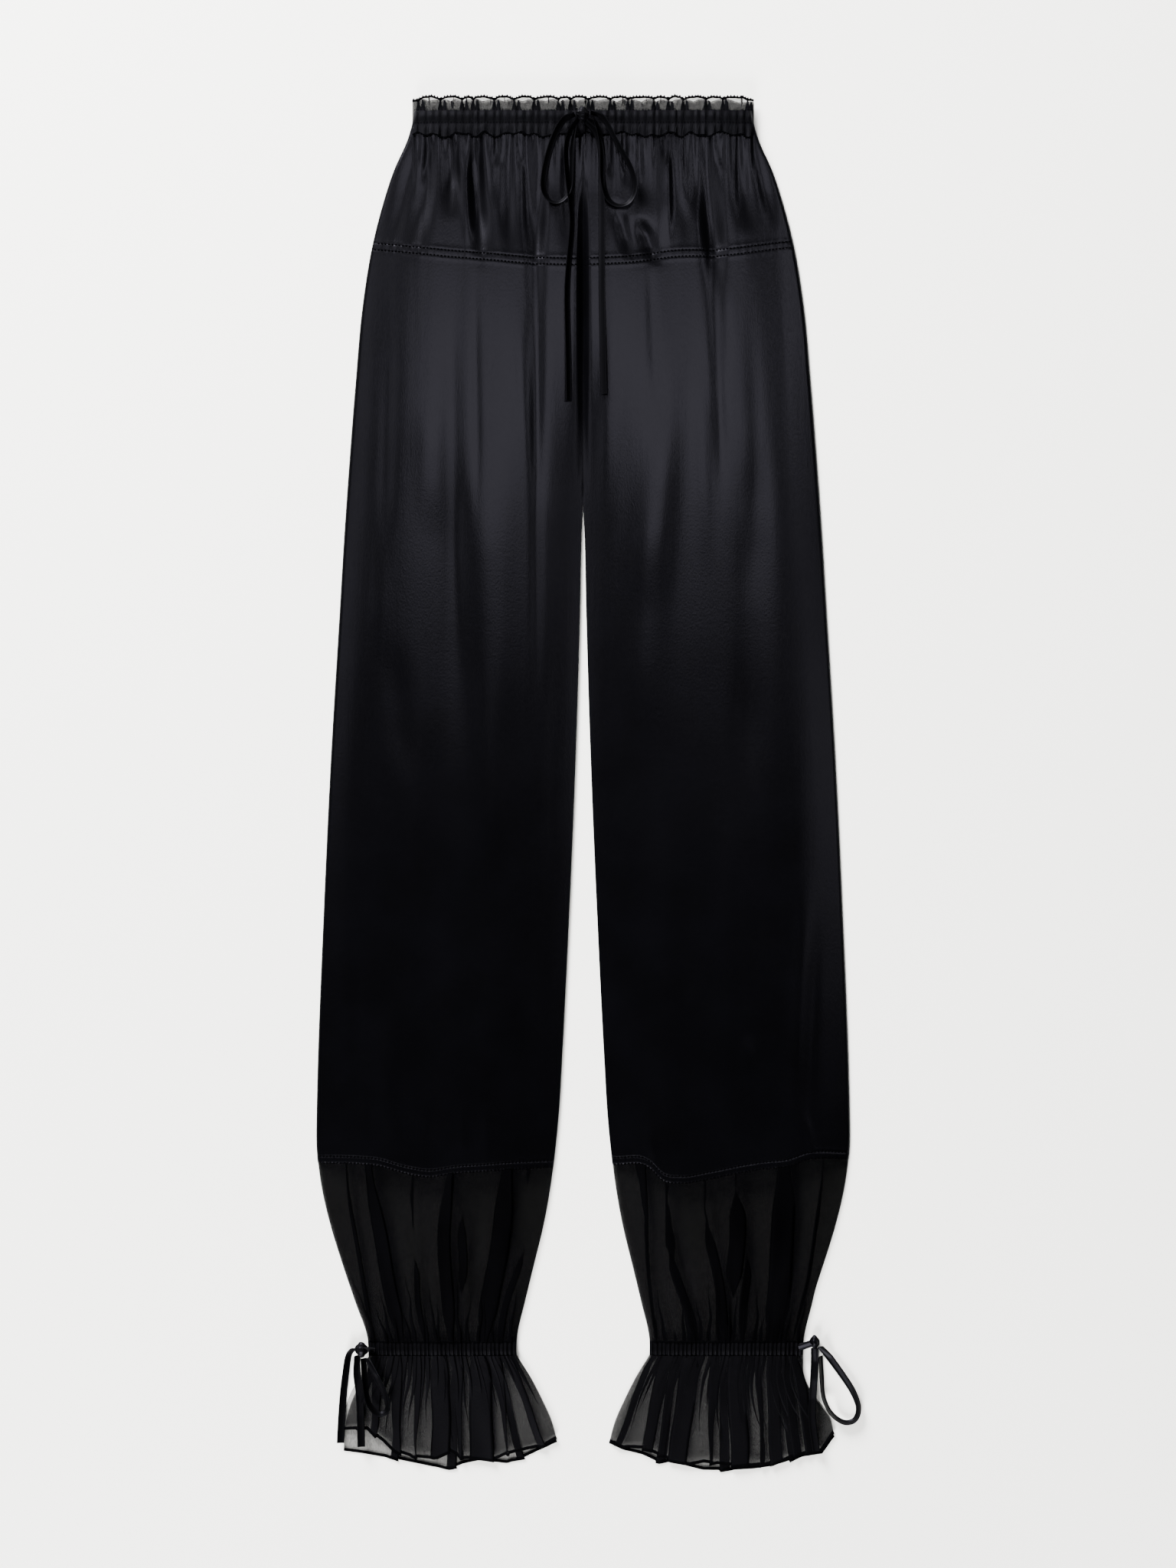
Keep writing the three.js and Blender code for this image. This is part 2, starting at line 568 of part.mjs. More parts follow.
// A place on a ruffle: u across from its inner edge, v down from its casing to its hem.
function rufflePlace(side, back, u, v) {
  const column = back ? side + "Back" : side;
  const hemInner = along(RUFFLE_SIDES, "down", "inner", HEM_LEVEL);
  const hemOuter = along(RUFFLE_SIDES, "down", column, HEM_LEVEL);
  const hem = along(RUFFLE_HEMS, "out", column, mix(hemInner, hemOuter, u));
  const down = mix(CASING_BOTTOM + GAP / 2, hem, v);
  const level = mix(CASING_BOTTOM, HEM_LEVEL, v);
  const inner = along(RUFFLE_SIDES, "down", "inner", level);
  const outer = along(RUFFLE_SIDES, "down", column, level);
  return { out: mix(inner, outer, u), down };
}

function addRuffle(side, sign) {
  const stations = [0];
  PLEATS[side].forEach(({ at }, n, all) => {
    if (n > 0) stations.push((all[n - 1].at + at) / 2);
    stations.push(at - 0.03, at, at + 0.03);
  });
  stations.push(1);
  const front = sheet(stations.length, RUFFLE_ROWS + 1, (i, j) => {
    const v = j / RUFFLE_ROWS;
    const { out, down } = rufflePlace(side, false, stations[i], v);
    return { x: sign * out, down, under: ruffleUnder(side, stations[i], v) };
  });
  add(`ruffle_front_${side}`, front, chiffon);
  const backColumns = 13;
  const back = sheet(backColumns, 5, (i, j) => {
    const { out, down } = rufflePlace(side, true, i / (backColumns - 1), j / 4);
    return { x: sign * out, down, under: 0 };
  });
  add(`ruffle_back_${side}`, back, chiffon);
}

// Top of the waist strip's gathers. A ribbon bridges from its lower edge down to the yoke.
function stripTop(x) {
  return stripUnder(x, STRIP_BOTTOM) + WALL + STRIP_SECTIONS[STRIP_SECTIONS.length - 1].wave;
}

// Top of whatever cloth lies under a place, or the surface itself.
function coverTop(x, down) {
  const side = x < 0 ? "right" : "left";
  const out = Math.abs(x);
  if (down < BRIDGE_END) {
    const share = Math.max(0, (down - STRIP_BOTTOM) / (BRIDGE_END - STRIP_BOTTOM));
    return mix(stripTop(x), frontUnder(side, out, BRIDGE_END) + WALL, share);
  }
  if (down < CASING_BOTTOM) {
    if (out > outerEdge(side, down) || out < innerEdge(down)) return 0;
    const gathered = down > CASING_TOP ? 2 : 0;
    return frontUnder(side, out, down) + WALL + gathered;
  }
  const inner = along(RUFFLE_SIDES, "down", "inner", down);
  const outer = along(RUFFLE_SIDES, "down", side, down) + 0.5;
  const hem = along(RUFFLE_HEMS, "out", side, out);
  if (out > inner && out < outer && down < hem + 1) {
    const u = (out - inner) / (outer - inner);
    const v = (down - CASING_BOTTOM) / (hem - CASING_BOTTOM);
    return ruffleUnder(side, Math.min(u, 1), v) + WALL;
  }
  const outerBack = along(RUFFLE_SIDES, "down", side + "Back", down) + 0.5;
  return out > inner && out < outerBack ? WALL : 0;
}

function restingHeight(x, down, reach) {
  let top = 0;
  for (let i = -2; i <= 2; i++) {
    for (let j = -2; j <= 2; j++) top = Math.max(top, coverTop(x + (i * reach) / 2, down + (j * reach) / 2));
  }
  return top;
}

// A flat ribbon with chamfered edges, laid over the cloth along chosen points.
function ribbon(points) {
  const RINGS_PER_SPAN = 2;
  const CHAMFER = 0.35;
  const flat = new THREE.CatmullRomCurve3(points.map((p) => new THREE.Vector3(p.x, -p.down, 0)));
  const heights = points.map((p) => p.z ?? restingHeight(p.x, p.down, RIBBON_REACH) + p.lift);
  const last = (points.length - 1) * RINGS_PER_SPAN;
  const rings = [];
  for (let n = 0; n <= last; n++) {
    const t = n / last;
    const middle = flat.getPoint(t);
    const tangent = flat.getTangent(t);
    const side = new THREE.Vector3(-tangent.y, tangent.x, 0).normalize();
    const span = Math.min(Math.floor(n / RINGS_PER_SPAN), points.length - 2);
    const f = n / RINGS_PER_SPAN - span;
    const half = mix(points[span].wide, points[span + 1].wide, f) / 2;
    const z = mix(heights[span], heights[span + 1], f);
    rings.push({ middle: place(middle.x, -middle.y, z), side, half });
  }
  const vertices = [];
  const thick = RIBBON_THICK / 2;
  for (const { middle, side, half } of rings) {
    const flatHalf = half - CHAMFER;
    const section = [
      [half, -thick / 2],
      [half, thick / 2],
      [flatHalf, thick],
      [-flatHalf, thick],
      [-half, thick / 2],
      [-half, -thick / 2],
      [-flatHalf, -thick],
      [flatHalf, -thick],
    ];
    for (const [across, up] of section) {
      vertices.push(middle.clone().addScaledVector(side, across).add(new THREE.Vector3(0, 0, up)));
    }
  }
  const triangles = [];
  for (let n = 0; n < last; n++) {
    for (let k = 0; k < 8; k++) {
      const a = n * 8 + k;
      const b = n * 8 + ((k + 1) % 8);
      triangles.push([a, b, b + 8], [a, b + 8, a + 8]);
    }
  }
  for (let k = 1; k < 7; k++) {
    triangles.push([0, k + 1, k], [last * 8, last * 8 + k, last * 8 + k + 1]);
  }
  return closedBody(vertices, triangles);
}

function addKnot(name, { x, down, rx, ry, rz }, z) {
  const ball = new THREE.SphereGeometry(1, 12, 8);
  ball.rotateX(Math.PI / 2);
  ball.scale(rx, ry, rz);
  const centre = place(x, down, z);
  ball.translate(centre.x, centre.y, centre.z);
  add(name, ball, ribbonSatin);
}

for (const { name, sign } of SIDES) {
  addPanels(name, sign);
  addCasing(name, sign);
  addRuffle(name, sign);
  addKnot(`ankle_knot_${name}`, ANKLE_KNOTS[name], ANKLE_KNOT_Z);
}
addWaistStrip();
addKnot("waist_knot", WAIST_KNOT, stripTop(WAIST_KNOT.x) + WAIST_KNOT.rz + GAP / 2);
for (const [name, points] of Object.entries(RIBBONS)) add(name, ribbon(points), ribbonSatin);

export default group;
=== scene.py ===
import math

import bpy
import numpy as np
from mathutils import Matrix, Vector


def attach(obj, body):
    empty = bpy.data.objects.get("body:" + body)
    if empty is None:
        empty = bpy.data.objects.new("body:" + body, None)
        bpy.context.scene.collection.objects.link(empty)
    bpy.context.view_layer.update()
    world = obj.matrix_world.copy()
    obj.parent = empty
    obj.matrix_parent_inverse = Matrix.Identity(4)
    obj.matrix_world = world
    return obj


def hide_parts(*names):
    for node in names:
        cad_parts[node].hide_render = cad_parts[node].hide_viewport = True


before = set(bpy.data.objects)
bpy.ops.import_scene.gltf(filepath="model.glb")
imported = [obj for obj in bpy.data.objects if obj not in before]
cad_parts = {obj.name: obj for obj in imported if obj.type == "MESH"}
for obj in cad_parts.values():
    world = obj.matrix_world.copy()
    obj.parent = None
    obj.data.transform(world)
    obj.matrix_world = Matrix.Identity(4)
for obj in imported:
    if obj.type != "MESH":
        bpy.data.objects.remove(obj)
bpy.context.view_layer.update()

# Black balloon trousers laid out flat on their back. Lengths below are in millimetres in the
# garment's own terms: "down" from the top edge of the waist, "out" from the centre line,
# "up" from the surface. X runs to the wearer's left and Y towards the waist.

MM = 0.001
UPWARDS = np.array((0.0, 0.0, 1.0))
LENGTH = 1080.0
WALL = 1.2
GAP = 0.3
LAYER = WALL + GAP
SIDES = {"right": -1, "left": 1}

CHANNEL_TOP = 9.7
CHANNEL_BOTTOM = 19.9
STRIP_BOTTOM = 31.0
STRIP_HALF_WIDTH = 134.3
BACK_RAMP = (33.0, 40.0)  # where the back layer comes down from the half of the strip it covers
FRONT_RAMP = (27.0, 78.0)  # and where the front layer does
YOKE_TOP = 10.0
YOKE_SEAM = 132.0
CROTCH = 316.0
ANKLE_SEAM = 842.0
CASING_TOP = 978.5
CASING_BOTTOM = 989.5
HEM_LEVEL = 1060.0
WAIST_GATHERS = 45  # across the garment, and across one ankle
ANKLE_GATHERS = 36
# Pleats that run out of the gathered edges: their count, height and reach into the cloth.
WAIST_PLEATS = ((WAIST_GATHERS, 0.9, 21), (21, 1.3, 36))
ANKLE_PLEATS = (ANKLE_GATHERS, 1.3, 15)
ANKLE_SLACK = (13, 0.7)  # longer ones, from the seam to the casing
SMALL_GATHERS = {"ankle": 17, "ruffle_front": 24, "ruffle_back": 8, "strip_front": 46, "strip_back": 20}
ANKLE_EXTRA = {"right": 0.0, "left": 4.2}
ANKLE_EXTRA_FROM = 930.0

CLOTH_THICK = 0.5
SHEER_THICK = 0.3
FELL_WIDTH = 5.5  # between the two rows of stitches of a felled seam
FELL_RISE = 0.16
YOKE_STITCHES_SUNK = 0.13
ANKLE_STITCHES_SUNK = 0.34
STITCHES_REACH = 0.9  # how far beside its middle a row of stitches sinks the cloth
CENTRE_SEAM_SUNK = 0.35
CENTRE_SEAM_REACH = 0.7
EDGE_ROLL_WIDTH = 3.0  # how the front turns down to the back at the side seams
EDGE_ROLL_DROP = 1.1
FOLD_DEPTH = {"yoke": 0.85, "leg": 0.52}  # share of the folds' heights that the thin cloth has
CREASE_DEPTH = {"yoke": 1.25, "leg": 0.75}
VALLEY_DEPTH = 0.9  # share of its height that the front loses in the valley along the centre seam
VALLEY_REACH = 3.2
# Meshes: distance between the rows of a piece, the same beside a felled seam, and the columns.
ROW_STEPS = {"yoke": 1.5, "leg": 4.8, "ankle": 2.0, "casing": 0.7, "casing_back": 3}
SEAM_STEP = 0.55
COLUMNS = {"yoke": 140, "leg": 120, "back": 24, "casing": 360, "casing_back": 30}
STITCH_PITCH = 2.8
GATHERED_STITCH = {"pitch": 2.4, "long": 1.6, "thick": 0.4}
HEM_RADII = (1.25, 0.5)  # of a rolled hem, across and up
HEM_STEP = 2.2  # how far a hem steps down where a flat fold lies on top
# A stitch: shares of its length with its size there, and how far out its corners lie.
STITCH_SECTIONS = ((0, 0.25), (0.3, 1), (0.7, 1), (1, 0.25))
STITCH_CORNERS = (1, 1.35, 1.35, 1.35, 1.35)
RIBBON_WIDTH = 5.8
RIBBON_THICK = 0.35
RIBBON_SETTLE = 0.7  # how far a ribbon sinks below its chosen height, into soft cloth


def table(columns, *rows):
    """A table with named columns, each an array."""
    values = np.array(rows, dtype=float)
    return {name: values[:, n] for n, name in enumerate(columns.split())}


def tables(columns, **rows_of):
    """Named tables that have the same columns."""
    return {name: table(columns, *rows) for name, rows in rows_of.items()}


OUTLINE = table(
    "down inner outer",
    (0, 0, 131.5),
    (10, 0, 132.5),
    (31, 0, 137.5),
    (57, 0, 149),
    (88, 0, 159),
    (118, 0, 166.3),
    (163, 0, 173.5),
    (223, 0, 179),
    (284, 0, 183.8),
    (316, 0, 186.1),
    (344, 1.2, 188),
    (404, 2.5, 191.6),
    (525, 6.2, 198.8),
    (646, 11.2, 204.4),
    (766, 17.2, 209),
    (797, 19, 209.7),
    (827, 21.8, 209.7),
    (857, 25.6, 206.2),
    (887, 31, 199.2),
    (917, 38.3, 189.9),
    (947, 45.6, 179.7),
    (978, 52.3, 169.4),
    (992, 52.3, 168.8),
)
YOKE_SEAM_LINE = table(
    "out right left",
    (0, 132, 132),
    (39, 131, 130),
    (75, 128, 125.5),
    (105, 125.5, 125),
    (166, 119, 117.5),
    (175, 118, 116.5),
)
ANKLE_SEAM_LINE = table(
    "out right left",
    (25, 841.5, 839),
    (52, 842, 841),
    (63, 842.5, 851),
    (76, 843.5, 853),
    (100, 845, 849.5),
    (122, 848, 845),
    (140, 845, 842),
    (162, 839, 839.5),
    (175, 838, 835),
    (210, 838, 835),
)
# Half a ribbon's section, from its middle: share of its half width, and how high it is raised.
HALF_SECTION = ((0.3, 0.02), (0.62, 0.08), (0.78, 0.5), (0.9, 0.5), (1, 0.12))
RIBBON_SECTION = table(
    "share raised",
    *((-share, raised) for share, raised in reversed(HALF_SECTION)),
    (0, 0),
    *HALF_SECTION,
)
# How high the front swells above the back, and how far in from an edge it takes to do so.
CROWN = table(
    "down high reach",
    (0, 1.5, 30),
    (40, 3, 40),
    (132, 6, 60),
    (284, 8.5, 62),
    (404, 8.5, 62),
    (646, 7.5, 60),
    (827, 8.5, 60),
    (917, 6, 45),
    (978, 2.5, 25),
    (992, 2, 20),
)
# Folds of the front: they run from top to bottom through three distances out.
FOLD_COLUMNS = "top bottom start mid end wide high"
FOLDS = tables(
    FOLD_COLUMNS,
    right=(
        (16, 128, 129, 139, 150, 8, -1.6),
        (22, 75, 104, 104, 103, 6, -1.4),
        (22, 130, 88, 81, 76, 7, -3),
        (22, 115, 62, 61, 60, 6, -1),
        (22, 350, 40, 36, 34, 6, -3),
        (110, 345, 0, 0, 0, 8, -5),
        (250, 540, 107, 101, 97, 13, -2.6),
        (260, 520, 79, 75, 64, 15, 3),
        (230, 350, 122, 120, 117, 11, 1.5),
        (420, 545, 148, 144, 140, 10, -1.6),
        (715, 838, 161, 155, 148, 8, 2.6),
        (845, 978, 168, 157, 145, 7, -2),
        (845, 978, 104, 112, 109, 8, -2.6),
        (845, 978, 64, 68, 88, 7, -2.2),
    ),
    left=(
        (110, 345, 0, 0, 0, 8, -5),
        (90, 140, 48, 50, 53, 13, -0.5),
        (22, 125, 64, 64, 64, 6, 1.8),
        (26, 235, 90, 104, 111, 7, -3.2),
        (24, 110, 118, 123, 129, 7, -1.5),
        (240, 410, 63, 57, 47, 15, 3),
        (260, 410, 135, 132, 131, 12, -2),
        (600, 842, 178, 167, 166, 8, 2.4),
        (450, 840, 99, 99, 99, 18, 1.6),
        (845, 978, 88, 101, 111, 8, -2.6),
        (845, 978, 168, 156, 135, 7, -2.2),
        (830, 970, 189, 181, 167, 7, 2),
    ),
)
# Finer creases, too small for the solids.
CREASES = tables(
    FOLD_COLUMNS,
    right=(
        (10, 134, 112, 124, 137, 7.5, -1.7),
        (8, 98, 103, 104, 104, 6.5, -1.8),
        (20, 62, 98, 97, 97, 2.4, 0.5),
        (8, 140, 85, 87, 79, 5, -1.5),
        (20, 56, 67, 67, 67, 2.6, -1),
        (8, 136, 60, 59, 57, 8, -1.6),
        (8, 136, 44, 43, 41, 6.5, -2.4),
        (40, 136, 31, 32, 37, 4.5, -1.5),
        (8, 136, 14, 13, 12, 6, -1.4),
        (24, 70, 118, 122, 127, 3, -0.7),
        (26, 90, 71, 70, 70, 3, -0.6),
        (24, 60, 52, 50, 48, 2.6, -0.6),
        (24, 95, 24, 24, 25, 3, -0.5),
        (30, 128, 96, 92, 90, 3.5, 0.7),
        (110, 345, 0, 0, 0, 8, 3.4),
        (125, 345, 85, 84, 82, 3.5, -0.7),
        (140, 330, 52, 48, 42, 5, 0.8),
        (330, 700, 20, 22, 26, 9, -0.3),
        (300, 450, 155, 158, 160, 8, 0.8),
        (415, 650, 74, 72, 70, 12, 2.4),
        (480, 720, 120, 118, 112, 12, -0.8),
        (560, 800, 60, 66, 72, 11, 0.7),
        (640, 835, 182, 178, 172, 6, -0.9),
        (130, 470, 104, 103, 100, 7, -0.9),
        (130, 420, 150, 154, 158, 6, -0.7),
        (140, 520, 37, 37, 36, 4, -1.1),
        (400, 800, 130, 136, 140, 16, 1.2),
        (780, 838, 96, 95, 94, 4, 0.8),
        (785, 838, 76, 76, 75, 4, 0.7),
        (790, 838, 118, 120, 122, 4, -0.7),
        (760, 830, 169, 167, 165, 3, -1.1),
        (850, 975, 188, 176, 163, 3, -1),
        (850, 975, 140, 140, 132, 5, 1.4),
        (855, 978, 84, 92, 99, 4, 1.2),
        (870, 978, 124, 124, 121, 3, -1),
        (850, 960, 46, 58, 66, 4, -0.9),
    ),
    left=(
        (20, 74, 31, 33, 35, 3, -0.8),
        (34, 88, 42, 46, 48, 5, -0.8),
        (20, 128, 66.5, 67.5, 68, 2.2, 0.6),
        (20, 54, 62, 64, 65, 2.5, -0.9),
        (8, 130, 76, 79, 82, 6.5, -0.8),
        (-5, 165, 93, 101, 111, 8, -2.6),
        (10, 100, 86, 87, 89, 3.6, -1.1),
        (10, 110, 120, 125, 131, 5, -0.8),
        (10, 110, 131, 141, 151, 5, -1.1),
        (92, 134, 44, 51, 57, 6, -1.7),
        (78, 132, 24, 31, 40, 5.5, -1.3),
        (24, 66, 20, 21, 22, 3, -0.6),
        (24, 80, 36, 38, 40, 3, -0.6),
        (26, 100, 74, 78, 82, 3.5, 0.8),
        (24, 60, 104, 107, 111, 3, -0.6),
        (110, 345, 0, 0, 0, 8, 3.4),
        (118, 250, 52, 54, 58, 4, -0.7),
        (150, 330, 24, 20, 16, 6, 0.8),
        (200, 380, 92, 94, 97, 6, 0.9),
        (290, 540, 54, 50, 46, 13, 1.7),
        (310, 580, 133, 131, 130, 14, -1.9),
        (340, 640, 24, 27, 30, 9, -0.3),
        (420, 640, 128, 132, 140, 13, -0.9),
        (560, 800, 64, 66, 70, 12, 0.8),
        (640, 842, 184, 178, 176, 5, -1),
        (132, 330, 100, 108, 110, 5, -1.3),
        (140, 460, 70, 66, 58, 10, 1.0),
        (130, 420, 130, 136, 142, 7, -0.7),
        (500, 842, 120, 116, 112, 14, 1.2),
        (735, 770, 129, 129, 129, 6, 1.1),
        (800, 845, 50, 53, 57, 4, 1.3),
        (795, 838, 174, 178, 182, 3, 0.7),
        (855, 975, 66, 78, 92, 4, -1.4),
        (855, 978, 120, 124, 124, 5, 1.2),
        (870, 978, 148, 146, 144, 3, -0.9),
        (850, 978, 196, 184, 170, 3, -0.9),
        (850, 960, 44, 56, 64, 4, -0.8),
    ),
)
# Flat folds of the ankle panels, where the sheer cloth doubles over itself, and the columns of
# the mesh on a doubled stretch and on an open one.
DOUBLED_STEPS = 5
OPEN_STEPS = 7
DOUBLED = tables(
    "top bottom start mid end half",
    right=(
        (846, 978.5, 186, 176, 165, 1.4),
        (846, 978.5, 167, 159, 143, 5),
        (905, 978.5, 134, 130, 124, 2),
        (838, 978.5, 104, 112, 104, 4.6),
        (872, 946, 94, 96, 95, 3),
        (838, 978.5, 60, 64, 78, 7),
        (900, 978.5, 43, 58, 68, 2.4),
    ),
    left=(
        (846, 978.5, 49, 47, 58, 1.2),
        (900, 978.5, 64, 80, 90, 3.4),
        (870, 978.5, 96, 106, 112, 3.6),
        (850, 950, 120, 121, 118, 6),
        (905, 978.5, 128, 130, 124, 3),
        (838, 978.5, 158, 160, 147, 8.5),
        (846, 978.5, 188, 181, 166, 1.4),
    ),
)
# Waist strip and ankle casing sections: lift above the cloth below, and height of the gathers.
STRIP_SECTIONS = table(
    "down lift wave",
    (0, 0.6, 2.4),
    (5.5, 0.4, 1.6),
    (9.7, 0, 0.6),
    (14.8, 0.8, 1.4),
    (19.9, 0, 0.6),
    (25.5, 0.1, 1.3),
    (31, 0.3, 2),
)
# Free edges of the strip: row of its cloth, how far its picots stand off and how thick they
# are, and the two radii of its bound edge.
STRIP_EDGES = (
    ("heading", 0, -0.9, 1.6, (0.9, 0.4)),
    ("frill", -1, 0.6, 1.15, (0.35, 0.3)),
)
CASING_SECTIONS = table(
    "down lift wave",
    (978.5, 0, 0.8),
    (984, 0.8, 1.3),
    (989.5, 0, 0.8),
)
RUFFLE_SIDES = table(
    "down inner right right_back left left_back",
    (990, 52, 168.7, 168.7, 173.2, 173.2),
    (1008, 41.3, 169.4, 174.5, 173.2, 174),
    (1026, 32.6, 169.8, 183, 181, 182),
    (1044, 25, 170, 187.5, 193, 194),
    (1060, 20.8, 170, 188.6, 197, 197.5),
)
RUFFLE_HEMS = table(
    "out right right_back left left_back",
    (21, 1054, 1057, 1056.6, 1058),
    (32, 1061, 1063, 1062, 1064),
    (48, 1064.5, 1070.5, 1062.6, 1068),
    (60, 1067, 1074.7, 1068, 1074),
    (70, 1071.5, 1073.5, 1072.5, 1073.5),
    (83, 1071, 1072.5, 1076, 1077),
    (95, 1070.4, 1075, 1073.5, 1080),
    (105, 1064.4, 1079, 1075, 1080),
    (116, 1071, 1077.7, 1076, 1080),
    (134, 1069.2, 1074, 1076.5, 1079),
    (148, 1065, 1071, 1075, 1077),
    (158, 1056.5, 1069.5, 1072, 1074),
    (170, 1047.5, 1067.5, 1067, 1070),
    (188, 1047, 1064, 1064, 1067),
    (197, 1047, 1062, 1050, 1053),
)
# Flat pleats of the ruffles, from the inner edge: distance out at the casing and at the hem,
# and half their width at each.
PLEAT_COLUMNS = "top hem half_top half_hem"
PLEATS = tables(
    PLEAT_COLUMNS,
    right=(
        (60, 33.5, 2.6, 3),
        (68, 60, 4.6, 0.6),
        (82, 79, 8.5, 9.6),
        (98, 97.5, 5, 1),
        (113, 112, 7, 7.6),
        (130, 131, 4.5, 0.5),
        (146, 147, 5, 2.6),
        (160, 165, 5, 2.4),
        (164, 176, 3, 1.2),
    ),
    left=(
        (56, 28.5, 2.6, 2.4),
        (66, 51, 5, 4.4),
        (74, 61.5, 3, 2.6),
        (86, 74.5, 8, 7.4),
        (104, 100.5, 5, 1.2),
        (120, 123, 8, 7.2),
        (137, 141.5, 3.5, 0.8),
        (148, 152.5, 5, 5),
        (158, 167.5, 3.5, 3.4),
        (165, 179.5, 3.5, 4),
    ),
)
BACK_PLEATS = tables(
    PLEAT_COLUMNS,
    right=((70, 50, 2, 3), (100, 104, 2, 4), (140, 148, 2, 3)),
    left=((72, 62, 2, 4), (110, 112, 2, 4), (150, 166, 2, 4)),
)

# Ribbons: chosen points, the height of the ribbon's middle there, as a lift above the cloth
# under it or as "up" from the surface, and the width that shows from above.
ANKLE_KNOT_UP = 3.7
BRIDGE_END = 75.0  # down to here the waist ribbons bridge from the strip to the yoke
RIBBON_REACH = 5.0  # how far around it a ribbon feels what it lies on
RUFFLE_CREST = 3.2
WAIST_KNOT = {"x": -0.3, "down": 14, "rx": 5, "ry": 4, "rz": 2.8}
ANKLE_KNOTS = {
    "right": {"x": -174.3, "down": 984.6, "rx": 5.2, "ry": 4.6, "rz": 3.2},
    "left": {"x": 182.2, "down": 978.6, "rx": 3.9, "ry": 4.2, "rz": 3.4},
}
RIBBONS = tables(
    "x down lift wide",
    waist_loop_right=(
        (-6.6, 14.6, 1.2, 2.6),
        (-16, 20, 1, 4.2),
        (-24, 36, 1, 4.8),
        (-30, 58, 1, 4.8),
        (-31, 74, 1, 4),
        (-25, 83, 1, 2.6),
        (-16, 82, 1, 2.6),
        (-9.6, 71, 1, 2.6),
        (-8.4, 42, 1, 2.6),
        (-5.4, 20.6, 1.2, 2.2),
    ),
    waist_loop_left=(
        (5.9, 13.4, 3.6, 2.6),
        (16, 18.5, 3.4, 3.4),
        (27, 38, 3, 3.2),
        (38, 58, 3, 3.2),
        (41, 72, 3, 3),
        (37, 83, 3, 3),
        (28, 86.5, 3, 3),
        (19.5, 81, 3, 4),
        (15.4, 66, 3, 4.2),
        (14.6, 40, 3, 4.2),
        (9.8, 22, 3.2, 2.6),
        (4.6, 18.2, 3.6, 2.2),
    ),
    waist_tail_right=(
        (-3.6, 18.8, 3.6, 2.4),
        (-11, 30, 3, 3),
        (-13.6, 45, 3, 3.4),
        (-12, 68, 3, 3.4),
        (-10, 84, 3, 3.4),
        (-9, 104, 1.6, 3.6),
        (-12.4, 150, 1.6, 4.4),
        (-11.6, 200, 1.6, 4.6),
        (-11, 239, 1.6, 4.6),
    ),
    waist_tail_left=(
        (2.4, 20.4, 1, 2.4),
        (10, 29, 1, 3.4),
        (14.4, 45, 1, 4.4),
        (14.6, 68, 1, 4.6),
        (14.8, 92, 1.2, 4.6),
        (14.8, 150, 1.6, 4.6),
        (15.6, 200, 1.6, 4.8),
        (16.4, 234, 1.6, 4.8),
    ),
    ankle_tail_right=(
        (-177.8, 989, 0, 4.3),
        (-178, 1004, 1, 5.7),
        (-176, 1020, 1, 5.7),
        (-174.8, 1038, 1, 5.7),
        (-174.2, 1060.5, 1, 5.7),
    ),
    ankle_tail_back_right=(
        (-180.8, 983.4, 0, 3.9),
        (-184.8, 990, 1, 4.7),
        (-187, 1004, 1, 5.1),
        (-189, 1022, 1, 5.3),
        (-190.2, 1042, 1, 5.5),
        (-191, 1058.5, 1, 5.5),
    ),
    ankle_loop_right=(
        (-172.6, 990.6, 1, 3.9),
        (-171.8, 1006, 1, 3.7),
        (-169.4, 1023, 1, 3.3),
        (-164.4, 1032, 1, 3.3),
        (-157.8, 1034.6, 1, 3.3),
        (-153.2, 1029.6, 1, 3.9),
        (-155.4, 1019, 1, 4.9),
        (-162, 1006, 1, 5.5),
        (-167, 995, 1, 4.3),
        (-169.6, 990.2, 1, 3.3),
    ),
    ankle_tail_left=(
        (182.2, 983.4, 0, 5.5),
        (182.4, 995, 1.2, 5.7),
        (181.8, 1008, 1.5, 5.7),
        (180.4, 1024, 1.5, 5.7),
        (180.4, 1042, 1, 5.7),
        (183.4, 1064, 1, 5.7),
    ),
    ankle_loop_left=(
        (186.6, 982.2, 0, 4.3),
        (194, 991, 1, 5.5),
        (204, 1004.6, 1, 5.3),
        (212.6, 1018, 1, 4.9),
        (217, 1030.6, 1, 3.7),
        (214.6, 1039.6, 1, 3.1),
        (207.4, 1042.6, 1, 2.9),
        (199.4, 1039, 1, 2.9),
        (192.6, 1031, 1, 2.9),
        (188.8, 1021, 1, 3.3),
        (187.6, 1006, 1, 3.7),
        (186.8, 990, 1, 3.3),
    ),
)
STRAND = table(
    "x down up wide",
    (169.5, 983, 3.9, 4.6),
    (175.7, 981, 3.9, 4.6),
    (179.9, 979.6, 3.9, 4.6),
)
WRAP = table(
    "x down up wide",
    (-163.5, 984.6, 4.6, 4.6),
    (-168.5, 984, 4.6, 4.6),
    (-173, 984.4, 4.2, 4.6),
)

# Height above the surface at which a ribbon leaves its ankle knot, in place of its first lift.
LEAVES_KNOT_UP = {
    "ankle_tail_right": 3.3,
    "ankle_tail_back_right": 3.3,
    "ankle_tail_left": 3.3,
    "ankle_loop_left": 3.1,
}


# ---------------- shape of the cloth


def mix(a, b, t):
    return a + (b - a) * t


def smooth(start, end, value):
    t = np.clip((value - start) / (end - start), 0.0, 1.0)
    return t * t * (3 - 2 * t)


def bell(distance, reach, power=2):
    """1 in the middle, and nearly 0 beyond the reach."""
    return np.exp(-((distance / reach) ** power))


